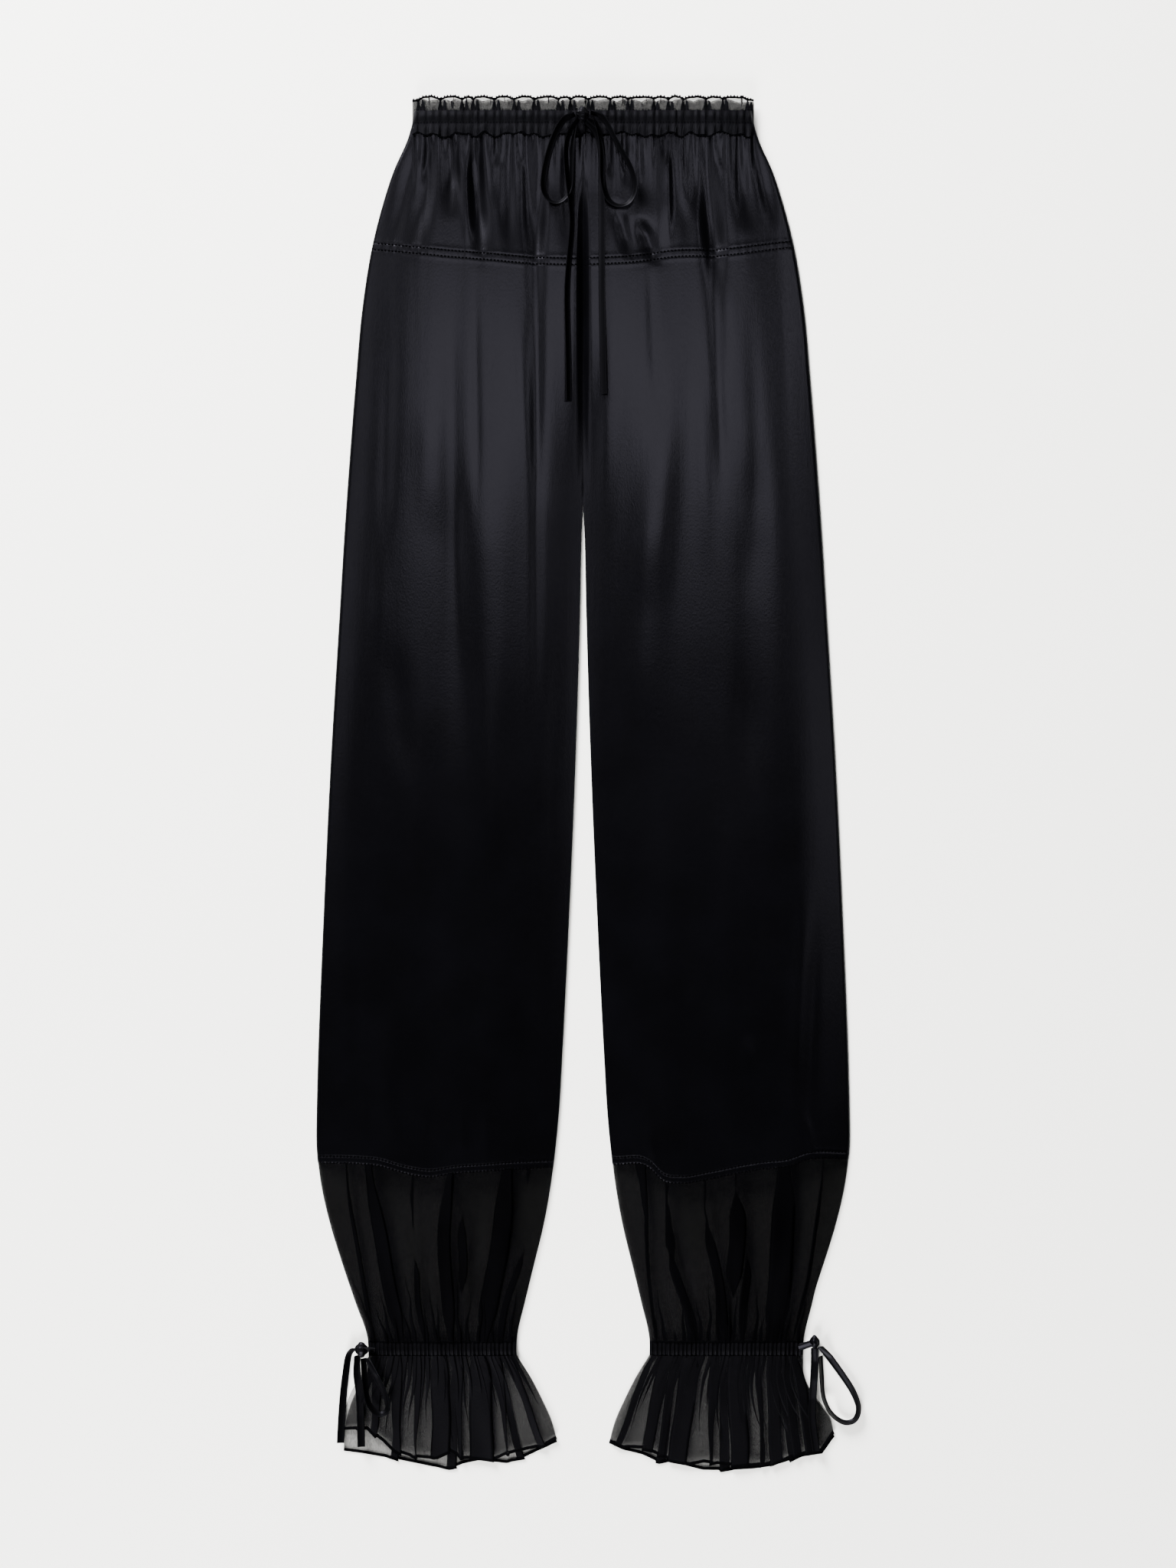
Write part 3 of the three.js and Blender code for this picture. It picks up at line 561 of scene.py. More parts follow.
def along(rows, column, at):
    """A column of a table, as a smooth curve over its first column."""
    x, y = next(iter(rows.values())), rows[column]
    at = np.clip(at, x[0], x[-1])
    slopes = np.gradient(y, x)
    i = np.clip(np.searchsorted(x, at, side="right") - 1, 0, len(x) - 2)
    span = x[i + 1] - x[i]
    t = (at - x[i]) / span
    h00 = (1 + 2 * t) * (1 - t) ** 2
    h10 = t * (1 - t) ** 2
    h01 = t * t * (3 - 2 * t)
    h11 = t * t * (t - 1)
    return h00 * y[i] + h10 * span * slopes[i] + h01 * y[i + 1] + h11 * span * slopes[i + 1]


def inner_edge(down):
    return np.maximum(along(OUTLINE, "inner", down), 0.0)


def outer_edge(side, down):
    extra = ANKLE_EXTRA[side] * smooth(ANKLE_EXTRA_FROM, CASING_TOP, down)
    return along(OUTLINE, "outer", down) + extra


def edges(side, down):
    return inner_edge(down), outer_edge(side, down)


def waist_share(x):
    """Share of the waist strip's width, from the wearer's right to the left."""
    return np.clip((x + STRIP_HALF_WIDTH) / (2 * STRIP_HALF_WIDTH), 0, 1)


def over_strip(ramp, down):
    """How much higher a layer lies where it covers a half of the waist strip."""
    return LAYER * (1 - smooth(*ramp, down))


def rise(distance, reach):
    share = np.clip(distance / reach, 0.0, 1.0)
    return 1 - (1 - share) ** 2


def bend(start, mid, end, t):
    """A smooth curve from start to end, drawn towards mid halfway."""
    return mix(mix(start, mid, t), mix(mid, end, t), t)


def fold_height(rows, out, down):
    total = np.zeros_like(out)
    for top, bottom, start, mid, end, wide, high in zip(*rows.values()):
        t = np.clip((down - top) / (bottom - top), 0.0, 1.0)
        fade = smooth(0, 0.4, t) * (1 - smooth(0.6, 1, t))
        total += high * fade * bell(out - bend(start, mid, end, t), wide)
    return total


def undulation(side, out, down):
    """Slow unevenness of cloth that has been laid down by hand."""
    turn = 0.0 if side == "right" else 3.7
    slow = np.sin(out / 21 - down / 260 + 2.1 * turn)
    medium = np.sin(out / 9.5 + 0.6 * np.sin(down / 170 + turn) + turn) * np.sin(down / 230 + 2 * turn + 0.5)
    fine = np.sin(out / 4.4 + 0.4 * np.sin(down / 120 + turn) + 1.7 * turn) * np.sin(down / 150 + turn)
    return 0.3 * slow + 0.24 * medium + 0.07 * fine


def unevenness(n):
    return np.sin(n * 2.4) * 0.6 + np.sin(n * 5.1 + 1) * 0.4


def gather(share, gathers):
    """Height of a row of gathers, from 0 in a trough to about 1 on a crest, at a share of its width."""
    n = np.arange(gathers * 2 + 1)
    places = (n + 0.3 * unevenness(n)) / (gathers * 2)
    places[0], places[-1] = 0, 1
    heights = np.where(n % 2, 0.75 + 0.25 * unevenness(n), 0)
    i = np.clip(np.searchsorted(places, share, side="right") - 1, 0, gathers * 2 - 1)
    t = (share - places[i]) / (places[i + 1] - places[i])
    return mix(heights[i], heights[i + 1], t * t * (3 - 2 * t))


def pleats(share, beyond, count, high, reach):
    """Pleats that run out of a gathered edge, so far beyond it."""
    return high * gather(share, count) * np.exp(-np.maximum(beyond, 0) / reach)


def puckers(side, out, down):
    """Small pleats that run out of the gathered waist and ankle into the cloth beside them."""
    share = waist_share(SIDES[side] * out)
    total = sum(pleats(share, down - STRIP_BOTTOM, *row) for row in WAIST_PLEATS)
    inner, outer = edges(side, down)
    share = np.clip((out - inner) / (outer - inner), 0, 1)
    total = total + pleats(share, CASING_TOP - down, *ANKLE_PLEATS)
    count, high = ANKLE_SLACK
    held = smooth(ANKLE_SEAM + 4, CASING_TOP, down) * (down < CASING_BOTTOM)
    return total + high * gather(share, count) * held


def fell(line, side, out, down, sunk):
    """The raised band of a felled seam, above its lower row of stitches, with the rows sunk in."""
    d = down - along(line, side, out) + FELL_WIDTH / 2
    rows = bell(np.abs(d) - FELL_WIDTH / 2, STITCHES_REACH)
    tugs = np.sin(out / 0.9 + 2 * np.sin(out / 7.3)) * bell(d, FELL_WIDTH * 0.8)
    return FELL_RISE * bell(d, FELL_WIDTH, 4) - sunk * rows + 0.1 * tugs


def swell(side, out, down, fine=True):
    """Height of the front layer above the back one."""
    high = along(CROWN, "high", down)
    reach = along(CROWN, "reach", down)
    parted = smooth(YOKE_SEAM - 20, CROTCH, down)
    edge = rise(outer_edge(side, down) - out, reach) * mix(1, rise(out - inner_edge(down), reach), parted)
    held = np.minimum(1, edge * 2)
    leg = smooth(YOKE_SEAM - 25, YOKE_SEAM + 40, down)
    deep = mix(FOLD_DEPTH["yoke"], FOLD_DEPTH["leg"], leg) if fine else 1
    total = high * edge + fold_height(FOLDS[side], out, down) * held * deep
    if fine:
        creases = fold_height(CREASES[side], out, down) * mix(CREASE_DEPTH["yoke"], CREASE_DEPTH["leg"], leg)
        total = total + (creases + undulation(side, out, down)) * held
        total = total + puckers(side, out, down) * np.minimum(1, edge * 6)
        drawn = smooth(STRIP_BOTTOM, YOKE_SEAM, down) * (1 - smooth(CROTCH - 30, CROTCH, down))
        valley = bell(out - inner_edge(down), VALLEY_REACH)
        total = total * (1 - VALLEY_DEPTH * drawn * valley)
    return np.maximum(total, 0)


def front_up(side, out, down):
    """Middle of the front layer, above the surface."""
    up = over_strip(FRONT_RAMP, down) + LAYER + WALL / 2 + swell(side, out, down)
    up = up + fell(YOKE_SEAM_LINE, side, out, down, YOKE_STITCHES_SUNK)
    up = up + fell(ANKLE_SEAM_LINE, side, out, down, ANKLE_STITCHES_SUNK)
    centre_seam = bell(out, CENTRE_SEAM_REACH) * (down < CROTCH)
    roll = 1 - np.clip((outer_edge(side, down) - out) / EDGE_ROLL_WIDTH, 0, 1)
    return up - CENTRE_SEAM_SUNK * centre_seam - EDGE_ROLL_DROP * roll**3


def folded_places(inner, outer, folds, lifted=1.0):
    """Sideways places and lifts of cloth that doubles back on itself at flat folds.

    The edges and each fold's half width are columns with a value for each row of the cloth,
    and so is its middle, unless the fold runs straight down. A fold with a negative half width
    is only a fullness that doesn't overlap yet.
    """
    level = np.zeros_like(inner)
    stations = [(inner, level)]
    for middle, half in sorted(folds, key=lambda fold: float(fold[0].mean())):
        over = smooth(-0.4, 0.6, half)
        stations.append((middle + half, 0.1 * over))
        stations.append((middle - half, 0.9 * over))
    stations.append((outer, level))
    places, lifts = [], []
    for number, ((x0, h0), (x1, h1)) in enumerate(zip(stations, stations[1:])):
        count = DOUBLED_STEPS if number % 2 else OPEN_STEPS
        for k in range(count):
            t = k / count
            eased = 0.55 * t + 0.45 * (0.5 - 0.5 * math.cos(math.pi * t))
            places.append(mix(x0, x1, eased))
            lifts.append(mix(h0, h1, t) * lifted)
    places.append(outer)
    lifts.append(level)
    return np.stack(places, axis=1), np.stack(lifts, axis=1)


def wander(n, share):
    return 0.9 * np.sin(4.3 * share + 2.1 * n) + 0.5 * np.sin(9.7 * share + 1.3 * n)


def ankle_folds(side, down):
    """The ankle panel's flat folds, and small gathers that die out above the casing."""
    folds = []
    for n, (top, bottom, start, mid, end, half) in enumerate(zip(*DOUBLED[side].values())):
        t = np.clip((down - top) / (bottom - top), 0, 1)
        from_seam = 0.55 if top < ANKLE_SEAM + 6 else 0.0
        opening = mix(from_seam, 1, smooth(0, 0.3, t)) * (1 - 0.5 * smooth(0.8, 1, t))
        if bottom < CASING_TOP:
            opening = smooth(0, 0.3, t) * (1 - smooth(0.7, 1, t))
        folds.append((bend(start, mid, end, t) + wander(n, t), mix(-0.6, 1.1 * half, opening)))
    gathers = SMALL_GATHERS["ankle"]
    for n in range(gathers):
        share = (n + 0.8 + 0.35 * unevenness(n + 3)) / (gathers + 0.6)
        length = 26 + 17 * unevenness(n)
        half = mix(-0.5, 1.5, bell(CASING_TOP - down, length))
        folds.append((mix(*edges(side, down), share) + wander(n, down / 40), half))
    return folds


def strip_up(x, down):
    under = [swell(side, np.abs(x), down, fine=False) for side in SIDES]
    under = over_strip(BACK_RAMP, down) + 2 * LAYER + WALL / 2 + np.where(x < 0, *under)
    lift = along(STRIP_SECTIONS, "lift", down)
    wave = along(STRIP_SECTIONS, "wave", down)
    uneven = 0.68 + 0.32 * np.sin(x / 3.7 + 2 * np.sin(x / 11))
    return under + lift + wave * uneven * gather(waist_share(x), WAIST_GATHERS)


def ruffle_edges(side, v):
    """Distances out of a ruffle's two edges, at a share of its length."""
    level = mix(CASING_BOTTOM, HEM_LEVEL, v)
    return along(RUFFLE_SIDES, "inner", level), along(RUFFLE_SIDES, side + "_back", level)


def ruffle_down(side, back, u, v):
    column = side + "_back" if back else side
    hem = np.interp(mix(*ruffle_edges(side, 1.0), u), RUFFLE_HEMS["out"], RUFFLE_HEMS[column])
    return mix(CASING_BOTTOM, hem, v)


# ---------------- what a ribbon lies on


def panel_top(x, down):
    side = "right" if x < 0 else "left"
    return LAYER + WALL + float(swell(side, np.array(abs(x)), np.array(float(down)), fine=False))


def strip_top(x):
    under = over_strip(BACK_RAMP, STRIP_BOTTOM) + LAYER
    return panel_top(x, STRIP_BOTTOM) + under + STRIP_SECTIONS["wave"][-1]


def cover_top(x, down):
    """Top of the cloth at a place, or of the surface beside it."""
    if down < BRIDGE_END:
        share = max(0.0, (down - STRIP_BOTTOM) / (BRIDGE_END - STRIP_BOTTOM))
        return mix(strip_top(x), panel_top(x, BRIDGE_END), share)
    side, out = ("right" if x < 0 else "left"), abs(x)
    if down < CASING_BOTTOM:
        inside = inner_edge(down) <= out <= outer_edge(side, down)
        return panel_top(x, down) if inside else 0.0
    inner = along(RUFFLE_SIDES, "inner", down)
    if inner < out < along(RUFFLE_SIDES, side, down) + 0.5:
        return LAYER + WALL + RUFFLE_CREST
    return WALL if inner < out < along(RUFFLE_SIDES, side + "_back", down) + 0.5 else 0.0


def resting_height(x, down):
    steps = np.linspace(-RIBBON_REACH, RIBBON_REACH, 5)
    return max(cover_top(x + i, down + j) for i in steps for j in steps)


# ---------------- meshes


def add_object(name, data):
    made = bpy.data.objects.new(name, data)
    bpy.context.scene.collection.objects.link(made)
    return made


def new_object(name, vertices, faces, material, crisp_edges=None):
    mesh = bpy.data.meshes.new(name)
    mesh.from_pydata([tuple(v) for v in vertices], [], [tuple(f) for f in faces])
    mesh.polygons.foreach_set("use_smooth", [True] * len(mesh.polygons))
    if crisp_edges is not None:
        edges = np.empty(len(mesh.edges) * 2, dtype=np.int64)
        mesh.edges.foreach_get("vertices", edges)
        mesh.edges.foreach_set("use_edge_sharp", crisp_edges(edges.reshape(-1, 2)))
    mesh.update()
    made = add_object(name, mesh)
    mesh.materials.append(material)
    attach(made, "root")
    return made


def grid_faces(rows, columns):
    n = np.arange((rows - 1) * columns).reshape(rows - 1, columns)[:, :-1].ravel()
    return np.stack([n, n + 1, n + columns + 1, n + columns], axis=1)


def unit(vectors):
    return vectors / (np.linalg.norm(vectors, axis=-1, keepdims=True) + 1e-15)


def to_world(x, down, up):
    return np.stack([x * MM, (LENGTH / 2 - down) * MM, up * MM], axis=-1)


def shell(name, middle, material, thick):
    """A closed sheet of a real thickness round a grid of places, with crisp edges all round."""
    rows, columns = middle.shape[:2]
    normals = unit(np.cross(np.gradient(middle, axis=1), np.gradient(middle, axis=0)))
    offset = normals * thick * MM / 2
    vertices = np.concatenate([(middle + offset).reshape(-1, 3), (middle - offset).reshape(-1, 3)])
    index = np.arange(rows * columns).reshape(rows, columns)
    rim = np.concatenate([index[0, :-1], index[:-1, -1], index[-1, :0:-1], index[:0:-1, 0]])
    ahead = np.roll(rim, -1)
    count = rows * columns
    grid = grid_faces(rows, columns)
    walls = np.stack([rim, ahead, ahead + count, rim + count], axis=1)
    faces = np.concatenate([grid[:, ::-1], grid + count, walls])
    place = np.full(2 * count, -9)
    place[rim] = place[rim + count] = np.arange(len(rim))

    def crisp(edges):
        first, second = place[edges[:, 0]], place[edges[:, 1]]
        step = np.abs(first - second)
        neighbours = (step == 1) | (step == len(rim) - 1)
        same_face = (edges[:, 0] < count) == (edges[:, 1] < count)
        return (first >= 0) & (second >= 0) & neighbours & same_face

    return new_object(name, vertices, faces, material, crisp)


def cloth(node, places, material, thick):
    return shell("cloth_" + node, to_world(*places), material, thick)


def panel_places(side, across, rows, top_line=None, bottom_line=None):
    """Places of a panel between two seam lines: u runs from its inner to its outer edge."""
    first, last = rows[0], rows[-1]
    u, down = np.meshgrid(across, rows)
    out = mix(*edges(side, down), u)
    v = (down - first) / (last - first)
    if top_line is not None:
        down = down + (1 - v) ** 3 * (along(top_line, side, out) - first)
    if bottom_line is not None:
        down = down + v**3 * (along(bottom_line, side, out) - last)
    return mix(*edges(side, down), u), down


def ring_faces(first, rings, sides):
    """Faces between rings of vertices that follow each other."""
    faces = []
    for start in range(first, first + (rings - 1) * sides, sides):
        for k in range(sides):
            a, b = start + k, start + (k + 1) % sides
            faces.append((a, b, b + sides, a + sides))
    return faces


def tube_faces(first, rings, sides):
    last = first + (rings - 1) * sides
    ends = [tuple(range(first, first + sides))[::-1], tuple(range(last, last + sides))]
    return ring_faces(first, rings, sides) + ends


def tube(name, centres, wide, high, material, sides=6):
    """A flattened tube along a line of centres, held level, with its two radii in millimetres."""
    across = unit(np.cross(np.gradient(centres, axis=0), UPWARDS))
    angles = np.arange(sides)[None, :, None] * 2 * np.pi / sides
    ring = np.cos(angles) * across[:, None, :] * wide * MM + np.sin(angles) * UPWARDS * high * MM
    vertices = (centres[:, None, :] + ring).reshape(-1, 3)
    return new_object(name, vertices, tube_faces(0, len(centres), sides), material)


def run_along(path):
    """Distance along a path to each of its points."""
    return np.concatenate([[0], np.cumsum(np.linalg.norm(np.diff(path, axis=0), axis=1))])


def point_at(path, run, at):
    return np.array([np.interp(at, run, column) for column in path.T])


def stitch_rows(name, paths, pitch=STITCH_PITCH, long=1.8, thick=1.05):
    """Raised stitches end to end along each path of world points."""
    vertices, faces = [], []
    sides = len(STITCH_CORNERS)
    for path in paths:
        run = run_along(path)
        for start in np.arange(0.4 * MM, run[-1] - long * MM, pitch * MM):
            begin, end = (point_at(path, run, at) for at in (start, start + long * MM))
            across = np.cross(unit(end - begin), UPWARDS)
            faces += tube_faces(len(vertices), len(STITCH_SECTIONS), sides)
            for share, size in STITCH_SECTIONS:
                middle = mix(begin, end, share)
                for k, corner in enumerate(STITCH_CORNERS):
                    angle = 2 * math.pi * k / sides
                    offset = across * math.cos(angle) + UPWARDS * math.sin(angle)
                    vertices.append(middle + offset * thick * MM / 2 * size * corner)
    return new_object(name, vertices, faces, THREAD)


# ---------------- materials


def new_material(name):
    material = bpy.data.materials.new(name)
    material.use_nodes = True
    return material, material.node_tree.nodes["Principled BSDF"]


def set_inputs(node, **values):
    for name, value in values.items():
        node.inputs[name.replace("_", " ")].default_value = value


def new_node(material, kind, **values):
    """A shader node of a kind, with some of its inputs set."""
    node = material.node_tree.nodes.new("ShaderNode" + kind)
    set_inputs(node, **values)
    return node


def noise(material, stretch, scale, detail):
    """Noise over the garment, drawn out along it where the stretch is below 1."""
    link = material.node_tree.links.new
    place = new_node(material, "TexCoord")
    stretched = new_node(material, "Mapping", Scale=(1, stretch, 1))
    made = new_node(material, "TexNoise", Scale=scale, Detail=detail)
    link(place.outputs["Object"], stretched.inputs["Vector"])
    link(stretched.outputs["Vector"], made.inputs["Vector"])
    return made.outputs["Fac"]


SHINE_TINT = (0.84, 0.81, 1, 1)


def cloth_material(name, dye, lighter, roughness, shine, weave, streak=0.0, see_through=0.0):
    """Woven cloth: slight colour variation, thread relief, and for sheers a share let through.

    The two colours are given in parts of 10,000.
    """
    material, shader = new_material(name)
    link = material.node_tree.links.new
    set_inputs(shader, Roughness=roughness, Specular_IOR_Level=shine, Specular_Tint=SHINE_TINT)
    ramp = new_node(material, "ValToRGB")
    for element, position, colour in zip(ramp.color_ramp.elements, (0.35, 0.7), (dye, lighter)):
        element.position = position
        element.color = (*(part / 10000 for part in colour), 1)
    link(noise(material, 1, 22, 4), ramp.inputs["Fac"])
    link(ramp.outputs["Color"], shader.inputs["Base Color"])
    threads = noise(material, 0.35, 1400, 1)
    bump = new_node(material, "Bump", Strength=weave, Distance=0.0002)
    link(threads, bump.inputs["Height"])
    if streak:
        flat_bump = bump
        bump = new_node(material, "Bump", Strength=streak, Distance=0.0006)
        link(noise(material, 0.06, 260, 3), bump.inputs["Height"])
        link(flat_bump.outputs["Normal"], bump.inputs["Normal"])
    link(bump.outputs["Normal"], shader.inputs["Normal"])
    if see_through:
        clear = new_node(material, "BsdfTransparent")
        blend = new_node(material, "MixShader")
        grain = new_node(material, "MapRange", To_Min=see_through * 0.8, To_Max=see_through * 1.2)
        link(threads, grain.inputs["Value"])
        link(grain.outputs["Result"], blend.inputs["Fac"])
        link(shader.outputs["BSDF"], blend.inputs[1])
        link(clear.outputs["BSDF"], blend.inputs[2])
        link(blend.outputs["Shader"], material.node_tree.nodes["Material Output"].inputs["Surface"])
    return material


SATIN = cloth_material("satin", (3, 3, 4), (5, 5, 7), 0.24, 0.12, 0.35, streak=0.08)
CHIFFON = cloth_material("chiffon", (4, 4, 5), (7, 7, 9), 0.42, 0.018, 0.5, see_through=0.45)
RUFFLE = cloth_material("ruffle_chiffon", (5, 5, 6), (9, 9, 11), 0.5, 0.05, 0.5, see_through=0.57)
CREPE = cloth_material("crepe", (8, 8, 10), (14, 14, 18), 0.6, 0.03, 0.8, see_through=0.54)
CASING = cloth_material("casing_chiffon", (5, 5, 6), (9, 9, 11), 0.5, 0.018, 0.6)
HEM = cloth_material("rolled_hem", (6, 6, 7), (10, 10, 12), 0.6, 0.0, 0.5)
RIBBON = cloth_material("ribbon_satin", (5, 5, 6), (9, 9, 11), 0.38, 0.03, 0.3, streak=0.08)
THREAD = cloth_material("thread", (5, 5, 6), (8, 8, 10), 0.6, 0.0, 0.3)


# ---------------- camera, light and floor

# In metres.
CAMERA_HEIGHT = 2.2
CAMERA_AT = (0.0039, 0.0003)
VIEW_LENGTH = 1.2358  # of the floor, from the top of the view to its bottom
FLOOR_HALF = 3.0
FLOOR_UP = -0.0003


def add_camera():
    data = bpy.data.cameras.new("camera")
    data.sensor_fit = "VERTICAL"
    data.sensor_height = 24
    data.lens = data.sensor_height / VIEW_LENGTH * CAMERA_HEIGHT
    data.clip_end = 20
    camera = add_object("camera", data)
    camera.location = (*CAMERA_AT, CAMERA_HEIGHT)
    bpy.context.scene.camera = camera


def add_light(name, place, target, size, power):
    data = bpy.data.lights.new(name, "AREA")
    data.shape = "RECTANGLE"
    data.size, data.size_y = size
    data.energy = power
    light = add_object(name, data)
    light.location = place
    light.rotation_euler = (Vector(target) - Vector(place)).to_track_quat("-Z", "Y").to_euler()


def add_floor():
    material, shader = new_material("floor")
    set_inputs(shader, Base_Color=(0.88, 0.87, 0.83, 1), Roughness=0.9)
    mesh = bpy.data.meshes.new("floor")
    corners = [(x * FLOOR_HALF, y * FLOOR_HALF, FLOOR_UP) for x, y in ((-1, -1), (1, -1), (1, 1), (-1, 1))]
    mesh.from_pydata(corners, [], [(0, 1, 2, 3)])
    mesh.materials.append(material)
    add_object("floor", mesh)


def add_world():
    world = bpy.data.worlds.new("world")
    world.use_nodes = True
    set_inputs(world.node_tree.nodes["Background"], Color=(1, 1, 1, 1), Strength=0.03)
    bpy.context.scene.world = world


add_camera()
add_light("overhead", (0.0, 0.66, 2.15), (0.0, 0.2, 0), (1.2, 0.6), 14)
add_light("card_upper_left", (-1.3, 0.9, 2.1), (-0.2, 0.4, 0), (0.7, 0.5), 3.0)
add_light("card_upper_right", (1.25, 0.95, 2.1), (0.2, 0.45, 0), (0.7, 0.4), 6.5)
add_light("card_lower_left", (-1.8, 0.4, 2.1), (-0.2, 0.2, 0), (0.6, 0.9), 4)
add_light("card_lower_right", (1.8, 0.1, 2.1), (0.2, 0.1, 0), (0.6, 1.6), 7)
add_light("flood_waist", (-1.5, 2.8, 1.6), (-0.1, 0, 0), (1.4, 1.4), 980)
add_light("flood_hem", (-0.9, -3.1, 1.5), (-0.1, 0, 0), (1.4, 1.4), 500)
add_world()
add_floor()


# ---------------- ribbons


def ribbon_heights(points, node):
    """Height of a ribbon's middle above the surface at each of its chosen points."""
    if "up" in points:
        return points["up"]
    rests = [resting_height(x, down) for x, down in zip(points["x"], points["down"])]
    heights = points["lift"] + rests
    heights[0] = LEAVES_KNOT_UP.get(node, heights[0])
    return heights


def ribbon_line(points, heights, steps=7):
    """Middle line and twist of a ribbon that runs through its chosen points."""
    last = len(heights) - 1
    t = np.linspace(0, last, last * steps + 1)
    curve = {"n": np.arange(last + 1.0), **points}
    up = np.interp(t, curve["n"], heights)
    wide = np.minimum(np.interp(t, curve["n"], points["wide"]) / RIBBON_WIDTH, 1)
    return along(curve, "x", t), along(curve, "down", t), up, np.arccos(wide)


def ribbon(name, points, node, tilt=1):
    x, down, up, twist = ribbon_line(points, ribbon_heights(points, node))
    half = RIBBON_WIDTH / 2
    centres = to_world(x, down, up - RIBBON_SETTLE + half * np.sin(twist))
    tangents = unit(np.gradient(centres, axis=0))
    level = unit(np.cross(tangents, UPWARDS))
    raised = np.cross(level, tangents)
    across = level * np.cos(twist)[:, None] + tilt * raised * np.sin(twist)[:, None]
    normal = np.cross(across, tangents)
    section = RIBBON_SECTION["share"][None, :, None] * half * MM
    edges = RIBBON_SECTION["raised"][None, :, None] * MM
    grid = centres[:, None, :] + across[:, None, :] * section + normal[:, None, :] * edges
    made = shell(name, grid, RIBBON, RIBBON_THICK)
    if node:
        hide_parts(node)
    return made, centres


def knot(name, node, shape, up):
    """A small tight knot: a rounded lump wrapped by one turn of the ribbon, with folds."""
    rings, sides = 26, 36
    theta = np.linspace(0, math.pi, rings)[:, None]
    phi = np.linspace(0, 2 * math.pi, sides, endpoint=False)[None, :]
    folds = 1 + 0.08 * np.sin(5 * phi + 2.2 * np.cos(theta)) * np.sin(theta)
    folds = folds + 0.04 * np.sin(11 * phi + 4 * theta)
    wrap = 1 + 0.22 * bell(np.cos(theta), 0.42, 6)
    radius = folds * wrap * 0.88
    x = shape["x"] + shape["rx"] * 1.15 * radius * np.cos(theta) * np.ones_like(phi)
    y = shape["ry"] * 1.15 * radius * np.sin(theta) * np.cos(phi)
    z = shape["rz"] * radius * np.sin(theta) * np.sin(phi)
    vertices = to_world(x, shape["down"] + y, up + z).reshape(-1, 3)
    made = new_object(name, vertices, ring_faces(0, rings, sides), RIBBON)
    made.data.validate()
    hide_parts(node)
    return made


waist_knot_up = strip_top(WAIST_KNOT["x"]) + WAIST_KNOT["rz"] + GAP / 2
waist_knot = knot("waist_bow_knot", "waist_knot", WAIST_KNOT, waist_knot_up)
for side, shape in ANKLE_KNOTS.items():
    knot(f"tie_knot_{side}", f"ankle_knot_{side}", shape, ANKLE_KNOT_UP)
strand, _ = ribbon("tie_strand_left", STRAND, "ankle_strand_left")
wrap, _ = ribbon("tie_wrap_right", WRAP, None)
for node, points in RIBBONS.items():
    made, centres = ribbon("ribbon_" + node, points, node, tilt=-1 if "left" in node else 1)


# ---------------- satin and sheer panels


def sections(start, end, step):
    return np.linspace(start, end, max(2, int(round((end - start) / step)) + 1))


def seamed_sections(start, end, step, at_start, at_end):
    """Rows down a panel, close together where it has a felled seam."""
    near = start + 2 * FELL_WIDTH * at_start
    far = end - 2 * FELL_WIDTH * at_end
    rows = [sections(near, far, step)]
    if at_start:
        rows.insert(0, sections(start, near, SEAM_STEP)[:-1])
    if at_end:
        rows.append(sections(far, end, SEAM_STEP)[1:])
    return np.concatenate(rows)


def edge_dense(columns):
    """Shares across a panel, closer together near its edges."""
    share = np.linspace(0, 1, columns)
    return mix(share, 0.5 - 0.5 * np.cos(math.pi * share), 0.4)


def declare_sheet(piece):
    """Hide the imported solid that a piece of cloth stands in for."""
    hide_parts(piece.name.removeprefix("cloth_"))


def seam_path(line, side, offset):
    """World points along a seam line of the front, so far below the line."""
    inner = float(inner_edge(along(line, side, 30.0)))
    outs = np.linspace(max(inner, 0.5) + 0.5, 215, 600)
    down = along(line, side, outs) + offset
    keep = (outs > inner_edge(down) + 0.5) & (outs < outer_edge(side, down) - 0.8)
    outs, down = outs[keep], down[keep]
    return to_world(SIDES[side] * outs, down, front_up(side, outs, down) + CLOTH_THICK / 2)


def add_panels(side):
    sign = SIDES[side]
    satin = ("satin", SATIN, CLOTH_THICK)
    yoke_rows = seamed_sections(YOKE_TOP, YOKE_SEAM, ROW_STEPS["yoke"], False, True)
    leg_rows = seamed_sections(YOKE_SEAM, ANKLE_SEAM, ROW_STEPS["leg"], True, True)
    ankle_rows = sections(ANKLE_SEAM, CASING_TOP, ROW_STEPS["ankle"])
    panels = (
        ("yoke", *satin, yoke_rows, None, YOKE_SEAM_LINE),
        ("leg", *satin, leg_rows, YOKE_SEAM_LINE, ANKLE_SEAM_LINE),
        ("ankle", "chiffon", CHIFFON, SHEER_THICK, ankle_rows, ANKLE_SEAM_LINE, None),
    )
    for part, slot, material, thick, rows, top_line, bottom_line in panels:
        if part == "ankle":
            out, lift = folded_places(*edges(side, rows), ankle_folds(side, rows))
            v = (rows[:, None] - rows[0]) / (rows[-1] - rows[0])
            down = rows[:, None] + (1 - v) ** 3 * (along(top_line, side, out) - rows[0])
        else:
            out, down = panel_places(side, edge_dense(COLUMNS[part]), rows, top_line, bottom_line)
            lift = 0
        places = (sign * out, down, front_up(side, out, down) + lift)
        declare_sheet(cloth(f"{part}_front_{side}", places, material, thick))
        rows = np.linspace(rows[0], rows[-1], len(rows) // 3)
        out, down = panel_places(side, edge_dense(COLUMNS["back"]), rows, top_line, bottom_line)
        places = (sign * out, down, over_strip(BACK_RAMP, down) + WALL / 2)
        declare_sheet(cloth(f"{part}_back_{side}", places, material, thick))


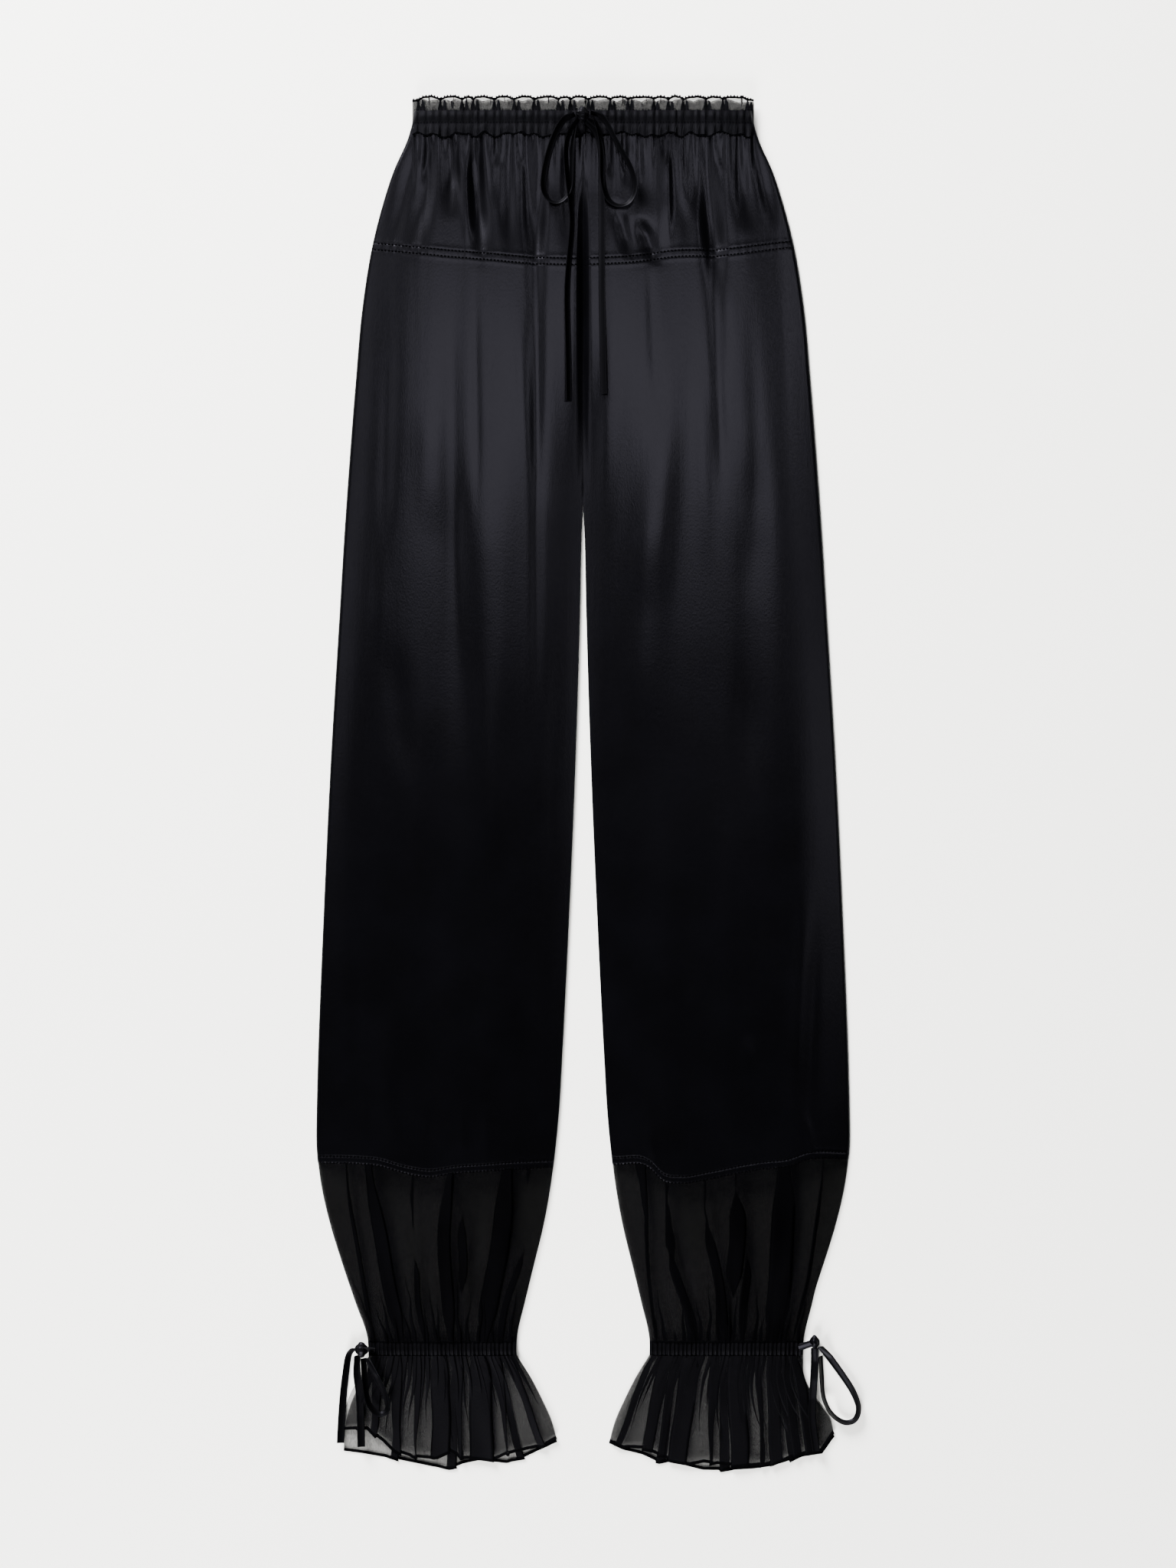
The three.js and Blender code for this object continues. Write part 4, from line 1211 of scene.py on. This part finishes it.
def casing_up(side, out, down, share):
    """Middle of a gathered casing, above the surface, before its lift."""
    wave = along(CASING_SECTIONS, "wave", down) * gather(share, ANKLE_GATHERS)
    return LAYER + WALL / 2 + swell(side, out, down, fine=False) + wave


def casing_places(side, part):
    rows = sections(CASING_TOP, CASING_BOTTOM, ROW_STEPS[part])
    return panel_places(side, np.linspace(0, 1, COLUMNS[part]), rows)


def add_casing(side):
    sign = SIDES[side]
    out, down = casing_places(side, "casing")
    inner, outer = edges(side, down)
    up = casing_up(side, out, down, (out - inner) / (outer - inner))
    places = (sign * out, down, up + along(CASING_SECTIONS, "lift", down))
    front = cloth(f"casing_front_{side}", places, CASING, CLOTH_THICK)
    declare_sheet(front)
    out, down = casing_places(side, "casing_back")
    places = (sign * out, down, np.full_like(out, WALL / 2))
    declare_sheet(cloth(f"casing_back_{side}", places, CASING, CLOTH_THICK))


def ruffle_folds(side, back, v):
    """Flat pleats that open towards the hem, and small gathers that die out below the casing."""
    rows = (BACK_PLEATS if back else PLEATS)[side]
    opening = v**0.8
    folds = []
    for n, (top, hem, half_top, half_hem) in enumerate(zip(*rows.values())):
        half = mix(half_top, half_hem, opening) * smooth(-0.25, 0.2, v)
        folds.append((mix(top, hem, opening) + wander(n, v) * v, half))
    gathers = SMALL_GATHERS["ruffle_back" if back else "ruffle_front"]
    for n in range(gathers):
        share = (n + 0.7 + 0.35 * unevenness(n)) / (gathers + 0.6)
        length = 0.48 + 0.26 * unevenness(n + 5)
        half = mix(-0.6, 1.7, bell(v, length))
        folds.append((mix(*ruffle_edges(side, v), share) + wander(n + 4, v) * v, half))
    return folds


def add_ruffle_layer(side, back):
    sign = SIDES[side]
    v = np.linspace(0, 1, 30 if back else 50)
    inner, outer = ruffle_edges(side, v)
    out, lift = folded_places(inner, outer, ruffle_folds(side, back, v))
    u = (out - inner[:, None]) / (outer - inner)[:, None]
    v = np.repeat(v[:, None], out.shape[1], axis=1)
    steps = (lift - 0.45) * HEM_STEP * v * np.minimum(1, 12 * u * (1 - u))
    down = ruffle_down(side, back, u, v) + steps
    if back:
        up = 0.35 + 0.6 * lift
    else:
        at_casing = swell(side, out[:1], down[:1], fine=False)
        waves = 1.1 * gather(np.clip(u, 0, 1), ANKLE_GATHERS) * np.exp(-v / 0.14)
        waves = waves + 0.9 * (0.5 + 0.5 * np.sin(u * 29 + 2 * v + sign)) * smooth(0.1, 0.8, v)
        up = LAYER + WALL / 2 + at_casing * (1 - v) + lift + waves * np.clip(14 * (1 - u), 0, 1)
    node = f"ruffle_{'back' if back else 'front'}_{side}"
    places = (sign * out, down, up)
    layer = cloth(node, places, RUFFLE, SHEER_THICK)
    hem = tube("hem_" + node, to_world(*places)[-1], *HEM_RADII, HEM)
    declare_sheet(layer)


def heading_bunches():
    """Places across the waist where the heading ruffle is bunched together."""
    places, x, n = [], -STRIP_HALF_WIDTH + 5, 0
    while x < STRIP_HALF_WIDTH - 3:
        places.append(x)
        x += 15 + 6.5 * unevenness(n)
        n += 1
    return np.array(places)


def edge_dip(x):
    """How far the free edge of the strip drops at each bunch, from 0 on the crest of a scallop."""
    places = heading_bunches()
    i = np.clip(np.searchsorted(places, x) - 1, 0, len(places) - 2)
    share = np.clip((x - places[i]) / (places[i + 1] - places[i]), 0, 1)
    return 1 - (4 * share * (1 - share)) ** 0.6


def strip_places(back):
    middle = np.linspace(2, STRIP_BOTTOM - 2, 12 if back else 25)
    last = np.linspace(STRIP_BOTTOM - 2, STRIP_BOTTOM, 4)
    downs = np.concatenate([np.linspace(0, 2, 4)[:-1], middle[:-1], last])
    heading = 1 - smooth(2, CHANNEL_TOP + 1, downs)
    frill = smooth(CHANNEL_BOTTOM - 1, STRIP_BOTTOM - 3, downs)
    bunched = mix(1.1, 2.4, smooth(1, CHANNEL_TOP, downs)) * (1 - smooth(CHANNEL_TOP, CHANNEL_TOP + 4, downs))
    folds = [(place + (3 if back else 0), bunched - 0.4) for place in heading_bunches()]
    count = SMALL_GATHERS["strip_back" if back else "strip_front"]
    for n in range(count):
        place = mix(-STRIP_HALF_WIDTH, STRIP_HALF_WIDTH, (n + 0.6 + 0.3 * unevenness(n)) / count)
        above = heading * (0.2 + 0.5 * unevenness(n + 9))
        below = frill * (0.75 + 0.4 * unevenness(n + 2))
        folds.append((place, mix(-0.5, 1.4, np.maximum(above, below))))
    edge = np.full_like(downs, STRIP_HALF_WIDTH)
    x, lift = folded_places(-edge, edge, folds, lifted=0.8)
    down = np.repeat(downs[:, None], x.shape[1], axis=1)
    heading, frill = heading[:, None], frill[:, None]
    dip = edge_dip(x + (9 if back else 0))
    curl = np.sin(x / 4.3 + 1.7 * np.sin(x / 13)) + 0.7 * np.sin(x / 2.1 + np.sin(x / 7))
    down = down + heading * (2.4 * dip + 0.25 * np.sin(x / 3.1)) - frill * (1.7 + 1.35 * curl)
    return x, down, lift * np.maximum(heading, frill)


def add_waist_strip():
    x, down, lift = strip_places(back=False)
    flat_x, flat_down = np.clip(x, -STRIP_HALF_WIDTH, STRIP_HALF_WIDTH), np.clip(down, 0, STRIP_BOTTOM)
    places = (x, down, strip_up(flat_x, flat_down) + lift)
    front = cloth("waist_strip_front", places, CREPE, SHEER_THICK)
    for name, row, offset, thick, _ in STRIP_EDGES:
        line = to_world(x, down + offset, places[2])[row]
        stitch_rows(f"picots_{name}", [line], pitch=2.7, long=1.5, thick=thick)
    for number, (_, row, _, _, radii) in enumerate(STRIP_EDGES):
        tube(f"picot_bound_edge_{number}", to_world(*places)[row], *radii, THREAD)
    declare_sheet(front)
    x, down, lift = strip_places(back=True)
    places = (x, down, 0.3 + 0.5 * gather(waist_share(x), WAIST_GATHERS) + 0.4 * lift)
    declare_sheet(cloth("waist_strip_back", places, CREPE, SHEER_THICK))


def add_stitches():
    seams, casings = [], []
    for side, sign in SIDES.items():
        for offset in (-0.25, -FELL_WIDTH + 0.25):
            seams.append(seam_path(YOKE_SEAM_LINE, side, offset))
            seams.append(seam_path(ANKLE_SEAM_LINE, side, offset))
        for row in (CASING_TOP + 0.4, CASING_BOTTOM - 0.4):
            share = np.linspace(0.005, 0.995, 400)
            down = np.full_like(share, row)
            out = mix(*edges(side, down), share)
            casings.append(to_world(sign * out, down, casing_up(side, out, down, share) + 0.3))
    x = np.linspace(-STRIP_HALF_WIDTH + 1, STRIP_HALF_WIDTH - 1, 700)
    rows = [np.full_like(x, row) for row in (CHANNEL_TOP, CHANNEL_BOTTOM)]
    channel = [to_world(x, down, strip_up(x, down) + 0.2) for down in rows]
    stitch_rows("stitches_felled_seams", seams)
    stitch_rows("stitches_waist_channel", channel, **GATHERED_STITCH)
    stitch_rows("stitches_ankle_casings", casings, **GATHERED_STITCH)


for side in SIDES:
    add_panels(side)
    add_casing(side)
    add_ruffle_layer(side, back=False)
    add_ruffle_layer(side, back=True)
add_waist_strip()
add_stitches()
